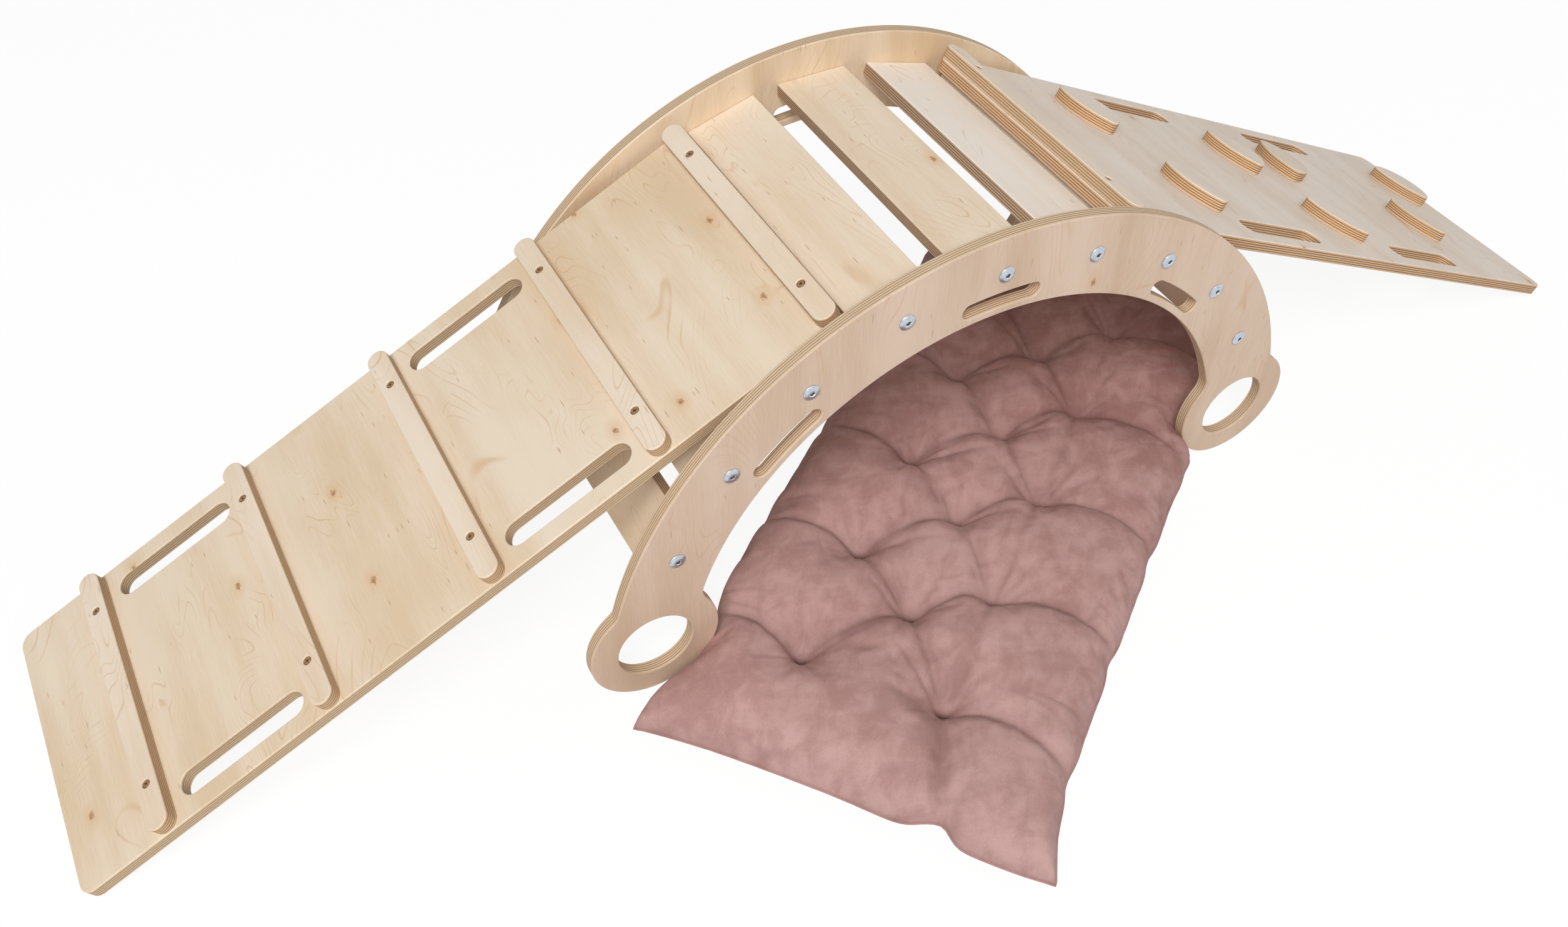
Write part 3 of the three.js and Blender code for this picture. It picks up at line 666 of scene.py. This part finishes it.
def connector_bolt(name):
    """Flat connector bolt head with a hexagon socket, seated on the panel at z 0."""
    profile = [(3.0, -12), (3.0, 0), (8.6, 0), (9.0, 0.3), (9.0, 0.9), (8.7, 1.25), (5.9, 2.7), (5.5, 2.9)]
    profile += [(-2.7, 2.9), (-2.4, 2.5), (-2.4, -0.1), (-2.4, -1.6)]
    return smooth_by_angle(turned_piece(name, profile, hexagon))


def barrel_nut(name):
    """Cross dowel end with a screwdriver slot, its face at z 0."""
    profile = [(5.0, -6), (5.0, -0.3), (4.7, 0), (-4.2, 0), (-4.2, -1.2)]
    return smooth_by_angle(turned_piece(name, profile, driver_slot, 48))


def countersunk_screw(name):
    """Wood screw with a flat countersunk head and a cross recess, its face at z 0."""
    profile = [(0.2, -14), (2.0, -11), (2.0, -2.4), (3.8, -0.35), (4.0, -0.1), (3.9, 0)]
    profile += [(-2.5, 0), (-2.0, -1.0), (0.5, -1.9)]
    return smooth_by_angle(turned_piece(name, profile, cross, 48))


for side, y, out in (("near", near_box[0].y, -1), ("far", far_box[1].y, 1)):
    for i, angle in enumerate(SLAT_ANGLES if side == "near" else reversed(SLAT_ANGLES)):
        sin, cos = math.sin(angle), math.cos(angle)
        origin = (SLAT_RADIUS * sin, y / MM, SLAT_RADIUS * cos + ARCH_Z)
        place = placing(origin, (-out, 0, 0), (0, 0, 1), (0, out, 0))
        bolt = connector_bolt(f"{side}_connector_bolt_{i + 1}")
        place = shifted(place, z=HEAD_GAP, turn=rand.uniform(0, PI))
        put(bolt, place, "arch", zinc, "zinc_steel", f"{side}_bolt_{i + 1}")
        under = SLAT_RADIUS - NUT_DROP
        inner = (sin * under, y / MM - out * (PLY + NUT_INSET), cos * under + ARCH_Z)
        place = placing(inner, (cos, 0, -sin), (0, -1, 0), (-sin, 0, -cos))
        nut = barrel_nut(f"{side}_barrel_nut_{i + 1}")
        put(nut, shifted(place, turn=rand.uniform(0, PI)), "arch", zinc, "zinc_steel")


# Ramps

corner_reach = math.hypot(SLAT_RADIUS + PLY / 2, SLAT_WIDTH / 2)
corner_turn = math.atan2(SLAT_WIDTH / 2, SLAT_RADIUS + PLY / 2)
rest = polar(corner_reach, PI / 2 - 2 * SLAT_PITCH + corner_turn) + Vector((0, ARCH_Z))
OVERHANG = 2 * corner_reach * math.sin(SLAT_PITCH / 2 - corner_turn) - BOARD_END_CLEARANCE
reach = BOARD_LENGTH - OVERHANG - EASE
SLOPE = math.asin(rest.y / math.hypot(reach, GAP)) + math.atan2(GAP, reach)
FIRST_RUNG = RUNG_WIDTH / 2 - OVERHANG
sin, cos = math.sin(SLOPE), math.cos(SLOPE)
perch = (rest.x + GAP * sin, ARCH_Y, rest.y + GAP * cos)
place_climbing = placing(perch, (cos, 0, -sin), (0, 1, 0), (sin, 0, cos))
round_arch = Matrix.Translation((0, ARCH_Y * MM, 0))
place_ladder = round_arch @ Matrix.Rotation(PI, 4, "Z") @ round_arch.inverted() @ place_climbing
BOARD_MIDDLE = BOARD_LENGTH / 2 - OVERHANG
RUNG_SEAT = PLY + GAP
UPSIDE_DOWN = Matrix.Rotation(PI, 4, "X")
RUNG_SCREWS = [Vector((side * RUNG_SCREW_SPREAD, 0)) for side in (1, -1)]


def ramp_board(name, slot_lines, slot_edge, pits):
    side = BOARD_WIDTH / 2 - slot_edge - RAMP_SLOT_WIDTH / 2
    slots = [
        rounded(RAMP_SLOT_LENGTH, RAMP_SLOT_WIDTH, RAMP_SLOT_WIDTH / 2, x=x - BOARD_MIDDLE, y=s * side)
        for x in slot_lines
        for s in (1, -1)
    ]
    return plate(name, rounded(BOARD_LENGTH, BOARD_WIDTH, BOARD_CORNER), slots, pits, across=True)


def rung(name, place, x, body, nodes, screw_nodes):
    holes = [circle(p.x, p.y, SCREW_HOLE_RADIUS, 24) for p in RUNG_SCREWS]
    made = plate(name, rounded(BOARD_WIDTH, RUNG_WIDTH, RUNG_WIDTH / 2), holes)
    put(made, shifted(place, x, 0, RUNG_SEAT + PLY / 2, PI / 2), body, rung_ply, "rung_plywood", *nodes)
    for i, (side, node) in enumerate(zip((1, -1), screw_nodes)):
        screw = countersunk_screw(f"{name}_wood_screw_{i + 1}")
        height = RUNG_SEAT + PLY - SCREW_RECESS
        at = shifted(place, x, side * RUNG_SCREW_SPREAD, height, rand.uniform(0, PI))
        put(screw, at, body, screw_metal, "screw_steel", node)


def batten(name, place, body, node):
    length = BOARD_WIDTH - 2 * BATTEN_INSET
    middle = -BATTEN_CLEARANCE - PLY / 2
    made = plate(name, rounded(length, BATTEN_DEPTH, EASE, PI / 4))
    turned = Matrix(((0, 0, 1), (1, 0, 0), (0, 1, 0))).to_4x4()
    at = shifted(place, middle, 0, -GAP - BATTEN_DEPTH / 2) @ turned
    put(made, at, body, rung_ply, "rung_plywood", node)
    for i, step in enumerate((-1, 0, 1)):
        screw = countersunk_screw(f"{name}_screw_{i + 1}")
        at = shifted(place, middle, step * BATTEN_SCREW_PITCH, -GAP - BATTEN_DEPTH - HEAD_GAP)
        put(screw, at @ UPSIDE_DOWN, body, screw_metal, "screw_steel")


ladder_slots = [FIRST_RUNG + place * RUNG_PITCH for place in LADDER_SLOT_PLACES]
ladder_place = shifted(place_ladder, BOARD_MIDDLE, 0, PLY / 2)
board = ramp_board("ladder_ramp_board", ladder_slots, LADDER_SLOT_EDGE, ())
put(board, ladder_place, "ladder_ramp", ladder_ply, "ramp_plywood", "ladder_board")
for i in range(RUNG_COUNT):
    line = FIRST_RUNG + i * RUNG_PITCH
    screws = [f"ladder_screw_{2 * i + k}" for k in (1, 2)]
    rung(f"ladder_rung_bar_{i + 1}", place_ladder, line, "ladder_ramp", [f"ladder_rung_{i + 1}"], screws)
batten("ladder_hook", place_ladder, "ladder_ramp", "ladder_hook_batten")

holds = [(FIRST_RUNG + a * BOARD_LENGTH, c * BOARD_WIDTH, -math.radians(t)) for a, c, t in HOLD_SHARES]
hold_screws = []
for x, y, turn in holds:
    for side in (1, -1):
        spot = Matrix.Rotation(turn, 2) @ Vector((HOLD_SCREW_DROP, side * HOLD_SCREW_SPREAD))
        hold_screws.append(Vector((x + spot.x, y + spot.y)))
pits = [(circle(p.x - BOARD_MIDDLE, p.y, SCREW_HOLE_RADIUS, 20), -1, HOLD_PIT_DEPTH) for p in hold_screws]
climbing_slots = [FIRST_RUNG + share * BOARD_LENGTH for share in CLIMBING_SLOT_SHARES]
climbing_place = shifted(place_climbing, BOARD_MIDDLE, 0, PLY / 2)
board = ramp_board("climbing_ramp_board", climbing_slots, CLIMBING_SLOT_EDGE, pits)
put(board, climbing_place, "climbing_ramp", climbing_ply, "climbing_plywood", "climbing_board")
screws = ["climbing_screw_1", "climbing_screw_2"]
rung("climbing_top_bar", place_climbing, FIRST_RUNG, "climbing_ramp", ["climbing_top_rung"], screws)
batten("climbing_hook", place_climbing, "climbing_ramp", "climbing_hook_batten")
for i, (x, y, turn) in enumerate(holds):
    hold = plate(f"pebble_hold_{i + 1}", hold_rim(), ease=HOLD_EASE, across=True)
    at = shifted(place_climbing, x, y, RUNG_SEAT + PLY / 2, turn)
    put(hold, at, "climbing_ramp", hold_ply, "hold_plywood", f"climbing_hold_{i + 1}")
for i, p in enumerate(hold_screws):
    at = shifted(place_climbing, p.x, p.y, SCREW_RECESS) @ UPSIDE_DOWN
    put(countersunk_screw(f"pebble_hold_screw_{i + 1}"), at, "climbing_ramp", screw_metal, "screw_steel")


# Cushion

CUSHION_HALF_LENGTH = 443.0
CUSHION_HALF_WIDTH = 210.0
CUSHION_TURN = math.radians(36.87)
CUSHION_X = 44.6
SEAM_HEIGHT = 24.0
CROWN = 70.0
TUFT_DEPTH = 32.0
EDGE_TUFT_PITCH = 162.0
MIDDLE_TUFT_PITCH = 154.0
# Each row's place across and along the cushion, as shares of it, its pitch and how many tufts it has
TUFT_ROW_SHARES = (
    (0.44, 0.02, EDGE_TUFT_PITCH, 5),
    (0.04, 0.03, MIDDLE_TUFT_PITCH, 4),
    (-0.33, 0.02, EDGE_TUFT_PITCH, 5),
)
NOTCH_ACROSS = -112.0
PINCH_HEIGHT = 26.0
SWELL_LIMIT = 8.0
SOLE_HEIGHT = 1.5
STEPS_ALONG, STEPS_ACROSS = 150, 72


def bell(x, width):
    return np.exp(-((x / width) ** 2))


def tuft_rows():
    rows = []
    for across, along, pitch, count in TUFT_ROW_SHARES:
        middle = along * 2 * CUSHION_HALF_LENGTH
        places = [middle + (i - (count - 1) / 2) * pitch for i in range(count)]
        rows.append([Vector((x, across * CUSHION_HALF_WIDTH)) for x in places])
    return rows


def foot_pinches():
    """Where the near feet press on the long edges: (place along, side, depth, reach on its near side)."""
    edge = polar(FOOT_REACH, FOOT_ANGLE).x - math.sqrt(FOOT_RADIUS**2 - (FOOT_RADIUS - PINCH_HEIGHT) ** 2)
    found = []
    for side, reach in ((-1, 60), (1, 16)):
        spot = Vector((side * edge - CUSHION_X, ARCH_Y - (INNER_WIDTH + PLY) / 2))
        spot = Matrix.Rotation(-CUSHION_TURN, 2) @ spot
        wide = half_width(spot.x / CUSHION_HALF_LENGTH, -side)
        found.append((spot.x, math.copysign(1, spot.y), max(0.0, wide + 2 - abs(spot.y)), reach))
    return found


def half_width(u, v):
    """Half the cushion's width before anything presses on it; its near right corner sticks out furthest."""
    left = CUSHION_HALF_WIDTH + 9 + 8 * u**8
    corner = 16 * np.where(u < 0, np.abs(u) ** 7, 0)
    right = CUSHION_HALF_WIDTH + 4 + corner + 8 * u**8 + 5 * bell(u - 0.4, 0.09)
    return np.where(v > 0, left, right)


def bent_line(start, end, bend, count=7):
    """Points of a crease that bows towards the far end of the cushion."""
    middle = (start + end) / 2 + Vector((bend, 0))
    shares = [i / count for i in range(count + 1)]
    return [start * (1 - t) ** 2 + middle * 2 * t * (1 - t) + end * t**2 for t in shares]


def crease_lines(rows):
    """Creases from tuft to tuft and out to the edges, as (points, depth at start, depth at end, width)."""
    left, middle, right = rows
    lines = []
    for k, m in enumerate(middle):
        others = ((left[k], 16, 26), (left[k + 1], 11, 9), (right[k], 9, 6), (right[k + 1], 16, 28))
        for other, depth, bend in others:
            crease = bent_line(m, other, bend + rand.uniform(-4, 4))
            lines.append((crease, depth, depth, rand.uniform(5.5, 7)))
    for a, b in zip(right, right[1:]):
        lines.append((bent_line(a, b, 0), 6, 6, 5))
    for row, side, offset in ((left, 1, 10), (right, -1, -12)):
        for t in row:
            edge = Vector((t.x + offset + rand.uniform(-8, 8), side * (CUSHION_HALF_WIDTH + 4)))
            lines.append((bent_line(t, edge, rand.uniform(24, 36)), 15, 10, 6))
    lines.append((bent_line(right[0], Vector((-CUSHION_HALF_LENGTH, NOTCH_ACROSS)), 0), 11, 14, 8))
    return lines


def fine_folds(rows):
    """Shallow folds: a fan beyond every tuft, short ones on its near side, and a few along the edges."""
    lines = []
    for t in rows[0] + rows[1] + rows[2]:
        lean = rand.uniform(-0.15, 0.15)
        for k in range(7):
            a = lean + (k - 3 + rand.uniform(-0.25, 0.25)) * 0.36
            fold = bent_line(t, t + polar(rand.uniform(60, 120), a), rand.uniform(-6, 10))
            lines.append((fold, rand.uniform(5, 8.5), 0, rand.uniform(4, 6.5)))
        for k in range(5):
            a = PI + (k - 2 + rand.uniform(-0.3, 0.3)) * 0.45
            fold = bent_line(t, t + polar(rand.uniform(28, 60), a), rand.uniform(-4, 4))
            lines.append((fold, rand.uniform(3.5, 6.5), 0, rand.uniform(3.5, 5)))
    for row, side in ((rows[0], 1), (rows[2], -1)):
        for t in row:
            for k in range(3):
                edge = Vector((t.x + rand.uniform(14, 60), side * (CUSHION_HALF_WIDTH + 2)))
                inner = t + Vector((rand.uniform(24, 60), side * rand.uniform(28, 70)))
                fold = bent_line(inner, edge, rand.uniform(4, 16))
                lines.append((fold, 1, rand.uniform(3, 5), rand.uniform(4, 6)))
    return lines


def along_line(x, y, points):
    """Each place's distance from a bent line, how far along it the place lies, and whether beyond it."""
    away, share, beyond = np.full_like(x, 1e9), np.zeros_like(x), np.zeros_like(x)
    for i, (a, b) in enumerate(zip(points, points[1:])):
        d = b - a
        t = np.clip(((x - a.x) * d.x + (y - a.y) * d.y) / d.length_squared, 0, 1)
        dx, dy = x - a.x - t * d.x, y - a.y - t * d.y
        off = np.hypot(dx, dy)
        share = np.where(off < away, (i + t) / (len(points) - 1), share)
        beyond = np.where(off < away, dx / np.maximum(off, 1e-6), beyond)
        away = np.minimum(off, away)
    return away, share, beyond


def grooves(x, y, lines, far_reach=1.0):
    """Depth of the deepest fold at each place; far_reach is how much wider a fold's far side is."""
    fold = np.zeros_like(x)
    for points, first, last, width in lines:
        away, share, beyond = along_line(x, y, points)
        depth = first + (last - first) * share
        if last == first:
            depth = first * (0.6 + 0.4 * np.abs(2 * share - 1))
        wide = width * (1 + (far_reach - 1) * np.clip(beyond * 1.6, 0, 1))
        fold = np.maximum(fold, depth * np.exp(-((away / wide) ** 1.1)))
    return fold


def tuft_pits(x, y, rows):
    """How far the tufts sink the cushion's top, and how near each place is to a tuft."""
    drop, pit = np.zeros_like(x), np.zeros_like(x)
    for t in rows[0] + rows[1] + rows[2]:
        away = np.hypot(x - t.x, y - t.y)
        reach = 26 + 18 * np.clip((x - t.x) / np.maximum(away, 1e-6), -0.7, 1)
        drop = np.maximum(drop, TUFT_DEPTH * np.exp(-((away / reach) ** 0.85)))
        pit = np.maximum(pit, bell(away, 6))
    return drop, pit


def cushion_mesh(rows, creases):
    nu, nv = STEPS_ALONG + 1, STEPS_ACROSS + 1
    u, v = np.meshgrid(np.linspace(-1, 1, nu), np.linspace(-1, 1, nv), indexing="ij")
    near_draw = 12 * (1 - v * v) + 17 * np.clip(-v, 0, 1) ** 5
    far_draw = 20 * bell(v - 0.5, 0.45) - 12 * bell(v + 0.35, 0.5)
    x = u * (CUSHION_HALF_LENGTH - np.where(u < 0, near_draw, far_draw) * u**4)
    half = half_width(u, v)
    for along, side, depth, reach in foot_pinches():
        spread = np.where(x < along, reach, 60)
        half = half - depth * bell(x - along, spread) * (side * v > 0)
    for row, side, offset, pull in ((rows[0], 1, 10, 3), (rows[2], -1, -12, 4)):
        for t in row:
            half = half - pull * bell(x - t.x - offset, 20) * (side * v > 0)
    y = v * half
    notch = bell(y - NOTCH_ACROSS, np.where(y > NOTCH_ACROSS, 26, 16)) * np.clip(-u, 0, 1) ** 12
    x = x + 15 * notch
    swell = ((1 - np.abs(v) ** 5) * (1 - np.abs(u) ** np.where(u < 0, 11, 15))) ** 0.42
    drop, pit = tuft_pits(x, y, rows)
    fold = grooves(x, y, creases, 4.5) * np.exp(-drop / 24)
    top = SEAM_HEIGHT + (CROWN - SEAM_HEIGHT) * swell - (drop + fold) * swell**0.8
    corner = np.abs(u * v) ** 6
    rise = 1 - 0.2 * corner - 0.45 * bell(u + 1, 0.04) * (1 - notch)
    top = np.where(swell < 1e-6, SEAM_HEIGHT * rise, top)
    bottom = 2 + (SEAM_HEIGHT * rise - 2) * (1 - swell) ** 2
    verts = [(x[i, j], y[i, j], top[i, j]) for i in range(nu) for j in range(nv)]
    at = {(i, j): i * nv + j for i in range(nu) for j in range(nv)}
    under = dict(at)
    for i in range(1, nu - 1):
        for j in range(1, nv - 1):
            under[i, j] = len(verts)
            verts.append((x[i, j] * 0.985, y[i, j] * 0.985, bottom[i, j]))
    faces = []
    for i in range(nu - 1):
        for j in range(nv - 1):
            faces.append((at[i, j], at[i + 1, j], at[i + 1, j + 1], at[i, j + 1]))
            faces.append((under[i, j], under[i, j + 1], under[i + 1, j + 1], under[i + 1, j]))
    rim = [at[i, 0] for i in range(nu)] + [at[nu - 1, j] for j in range(1, nv)]
    rim += [at[i, nv - 1] for i in reversed(range(nu - 1))] + [at[0, j] for j in reversed(range(1, nv - 1))]
    made = mesh_piece("velvet_cushion", verts, faces)
    held = np.ones(len(verts), np.float32)
    held[: nu * nv] = np.clip(pit + grooves(x, y, creases) / 15, 0, 1).ravel()
    held[rim] = 1.0
    return made, rim, held


def settle(piece, hold):
    """Fills the cushion with soft wadding: the cloth swells between the tufts and creases that hold it."""
    start = np.array([v.co for v in piece.data.vertices])
    held = piece.vertex_groups.new(name="held")
    for i, weight in enumerate(hold):
        if weight > 0.05:
            held.add([i], float(weight), "REPLACE")
    cloth = piece.modifiers.new("wadding", "CLOTH")
    settings = cloth.settings
    settings.quality = 6
    settings.mass = 0.25
    settings.tension_stiffness = 18
    settings.compression_stiffness = 12
    settings.shear_stiffness = 6
    settings.bending_stiffness = 0.15
    settings.use_pressure = True
    settings.uniform_pressure_force = 4.0
    settings.shrink_min = -0.03
    settings.vertex_group_mass = "held"
    settings.effector_weights.gravity = 0.0
    cloth.collision_settings.use_collision = False
    scene = bpy.context.scene
    for number in range(1, 21):
        scene.frame_set(number)
    moved = piece.evaluated_get(bpy.context.evaluated_depsgraph_get())
    end = np.array([v.co for v in moved.data.vertices])
    piece.modifiers.clear()
    scene.frame_set(1)
    shift = end - start
    far = np.linalg.norm(shift, axis=1, keepdims=True)
    shift *= np.minimum(1, SWELL_LIMIT * MM / np.maximum(far, 1e-9))
    end = start + shift
    end[:, 2] = np.maximum(end[:, 2], SOLE_HEIGHT * MM)
    piece.data.vertices.foreach_set("co", end.ravel())
    piece.data.update()


def made_finer(piece):
    """Subdivides the cushion once; its first points keep their numbers."""
    smoother = piece.modifiers.new("finer", "SUBSURF")
    smoother.levels = 1
    fine = piece.evaluated_get(bpy.context.evaluated_depsgraph_get())
    mesh = bpy.data.meshes.new_from_object(fine)
    piece.modifiers.clear()
    piece.data = mesh


def fold_skin(piece, rows, creases, folds):
    """Presses the fine folds into the top, and marks pits and creases where the velvet's colour paints
    shade.
    """
    mesh = piece.data
    count = len(mesh.vertices)
    places, normals = np.empty(count * 3), np.empty(count * 3)
    mesh.vertices.foreach_get("co", places)
    mesh.vertices.foreach_get("normal", normals)
    places, up = places.reshape(-1, 3), np.clip(normals.reshape(-1, 3)[:, 2], 0, 1)
    x, y = places[:, 0] / MM, places[:, 1] / MM
    drop, pit = tuft_pits(x, y, rows)
    fine = grooves(x, y, folds) * up
    places[:, 2] -= (fine * (1 - 0.6 * pit) + 5 * pit * up) * MM
    mesh.vertices.foreach_set("co", places.ravel())
    mesh.update()
    deep = grooves(x, y, creases) * up
    # painted shade: dark in the tuft pits and faintly along the creases and fine folds
    painted_pit_crease_shade = np.clip(pit + 0.03 * deep + 0.03 * fine, 0, 1).astype(np.float32)
    mesh.attributes.new("painted_pit_crease_shade", "FLOAT", "POINT").data.foreach_set("value", painted_pit_crease_shade * (up > 0))


def seam_welt(name, points, radius=1.7):
    """A rolled seam that follows the cushion's edge."""
    count, ring = len(points), 8
    verts, faces = [], []
    for i, p in enumerate(points):
        ahead = (points[(i + 1) % count] - points[i - 1]).normalized()
        side = ahead.cross(Vector((0, 0, 1))).normalized()
        up = side.cross(ahead)
        for k in range(ring):
            a = 2 * PI * k / ring
            verts.append(tuple(p + side * radius * math.cos(a) + up * radius * 0.8 * math.sin(a)))
    for i in range(count):
        for k in range(ring):
            a, b = i * ring + k, i * ring + (k + 1) % ring
            c, d = (i + 1) % count * ring + (k + 1) % ring, (i + 1) % count * ring + k
            faces.append((d, c, b, a))
    return mesh_piece(name, verts, faces)


tufts = tuft_rows()
creases, folds = crease_lines(tufts), fine_folds(tufts)
cushion, rim, hold = cushion_mesh(tufts, creases)
settle(cushion, hold)
made_finer(cushion)
fold_skin(cushion, tufts, creases, folds)
welt = seam_welt("velvet_cushion_seam", [cushion.data.vertices[i].co / MM for i in rim])
place_cushion = Matrix.Translation((CUSHION_X * MM, 0, 0)) @ Matrix.Rotation(CUSHION_TURN, 4, "Z")
put(cushion, place_cushion, "cushion", velvet, "velvet", "cushion")
put(welt, place_cushion, "cushion", welt_velvet, "velvet")


# Floor, light and camera

# In metres and watts
FLOOR_HALF = 30.0
FLOOR_DROP = 0.0005
FLOOR_GLOW = 1.05
FLOOR_GLOW_SHARE = 0.86
LIT_PLACE = (0, 0, 0.2)
WORLD_LIGHT = 0.25
BACKDROP_LIGHT = 0.94
WHITE = (1, 1, 1, 1)

# The camera: its place in millimetres, and its angles in degrees, clockwise from +Y, down and sideways
CAMERA_PLACE = (-731.45, ARCH_Y - 1053.28, 1308.67)
CAMERA_HEADING = 28.845
CAMERA_TILT = 47.9895
CAMERA_ROLL = 0.8199
CAMERA_LENS = 33.2524
CAMERA_SENSOR = 36.0
CAMERA_SHIFT = (0.011774, 0.026179)
CAMERA_REACH = 60


def background_seen(tree):
    """1 where the background is seen, straight or in metal or glass, and 0 where it only gives light."""
    path = tree.nodes.new("ShaderNodeLightPath")
    seen = path.outputs["Is Camera Ray"]
    for kind in ("Is Glossy Ray", "Is Transmission Ray"):
        either = tree.nodes.new("ShaderNodeMath")
        either.operation = "MAXIMUM"
        tree.links.new(seen, either.inputs[0])
        tree.links.new(path.outputs[kind], either.inputs[1])
        seen = either.outputs[0]
    return seen


def studio_floor():
    corners = [(x * FLOOR_HALF, y * FLOOR_HALF, 0) for x, y in ((-1, -1), (1, -1), (1, 1), (-1, 1))]
    mesh = bpy.data.meshes.new("studio_floor")
    mesh.from_pydata(corners, [], [(0, 1, 2, 3)])
    floor = bpy.data.objects.new("studio_floor", mesh)
    bpy.context.scene.collection.objects.link(floor)
    floor.location.z = -FLOOR_DROP
    s = Shader("pale_floor", Roughness=0.9, Specular_IOR_Level=0.0)
    s.main.inputs["Base Color"].default_value = (0.8, 0.8, 0.8, 1)
    glow = s.tree.nodes.new("ShaderNodeEmission")
    glow.inputs["Color"].default_value = WHITE
    glow.inputs["Strength"].default_value = FLOOR_GLOW
    blend = s.tree.nodes.new("ShaderNodeMixShader")
    s.feed(blend.inputs[0], Value(s, background_seen(s.tree)) * FLOOR_GLOW_SHARE)
    s.tree.links.new(s.main.outputs[0], blend.inputs[1])
    s.tree.links.new(glow.outputs[0], blend.inputs[2])
    s.tree.links.new(blend.outputs[0], s.tree.nodes["Material Output"].inputs["Surface"])
    mesh.materials.append(s.material)


def soft_lamp(name, place, size, watts):
    lamp = bpy.data.lights.new(name, "AREA")
    lamp.shape = "DISK"
    lamp.size = size
    lamp.energy = watts
    holder = bpy.data.objects.new(name, lamp)
    holder.location = place
    holder.rotation_euler = (Vector(LIT_PLACE) - Vector(place)).to_track_quat("-Z", "Y").to_euler()
    bpy.context.scene.collection.objects.link(holder)


def studio_world():
    world = bpy.data.worlds.new("studio")
    bpy.context.scene.world = world
    world.use_nodes = True
    tree = world.node_tree
    surround = tree.nodes["Background"]
    bright = tree.nodes.new("ShaderNodeBackground")
    for light, strength in ((surround, WORLD_LIGHT), (bright, BACKDROP_LIGHT)):
        light.inputs["Color"].default_value = WHITE
        light.inputs["Strength"].default_value = strength
    choose = tree.nodes.new("ShaderNodeMixShader")
    tree.links.new(background_seen(tree), choose.inputs[0])
    tree.links.new(surround.outputs[0], choose.inputs[1])
    tree.links.new(bright.outputs[0], choose.inputs[2])
    tree.links.new(choose.outputs[0], tree.nodes["World Output"].inputs["Surface"])


def room_camera():
    view = bpy.data.cameras.new("camera")
    view.sensor_width = CAMERA_SENSOR
    view.lens = CAMERA_LENS
    view.shift_x, view.shift_y = CAMERA_SHIFT
    view.clip_end = CAMERA_REACH
    eye = bpy.data.objects.new("camera", view)
    heading = Matrix.Rotation(-math.radians(CAMERA_HEADING), 4, "Z")
    tilt = Matrix.Rotation(math.radians(90 - CAMERA_TILT), 4, "X")
    roll = Matrix.Rotation(math.radians(CAMERA_ROLL), 4, "Z")
    eye.matrix_world = Matrix.Translation(Vector(CAMERA_PLACE) * MM) @ heading @ tilt @ roll
    bpy.context.scene.collection.objects.link(eye)
    bpy.context.scene.camera = eye


studio_floor()
soft_lamp("key_softbox", (-2.9, -3.6, 5.4), 3.4, 375)
soft_lamp("fill_softbox", (3.0, -1.2, 2.6), 2.0, 15)
studio_world()
room_camera()
bpy.context.scene.view_settings.view_transform = "Standard"

bpy.context.view_layer.update()
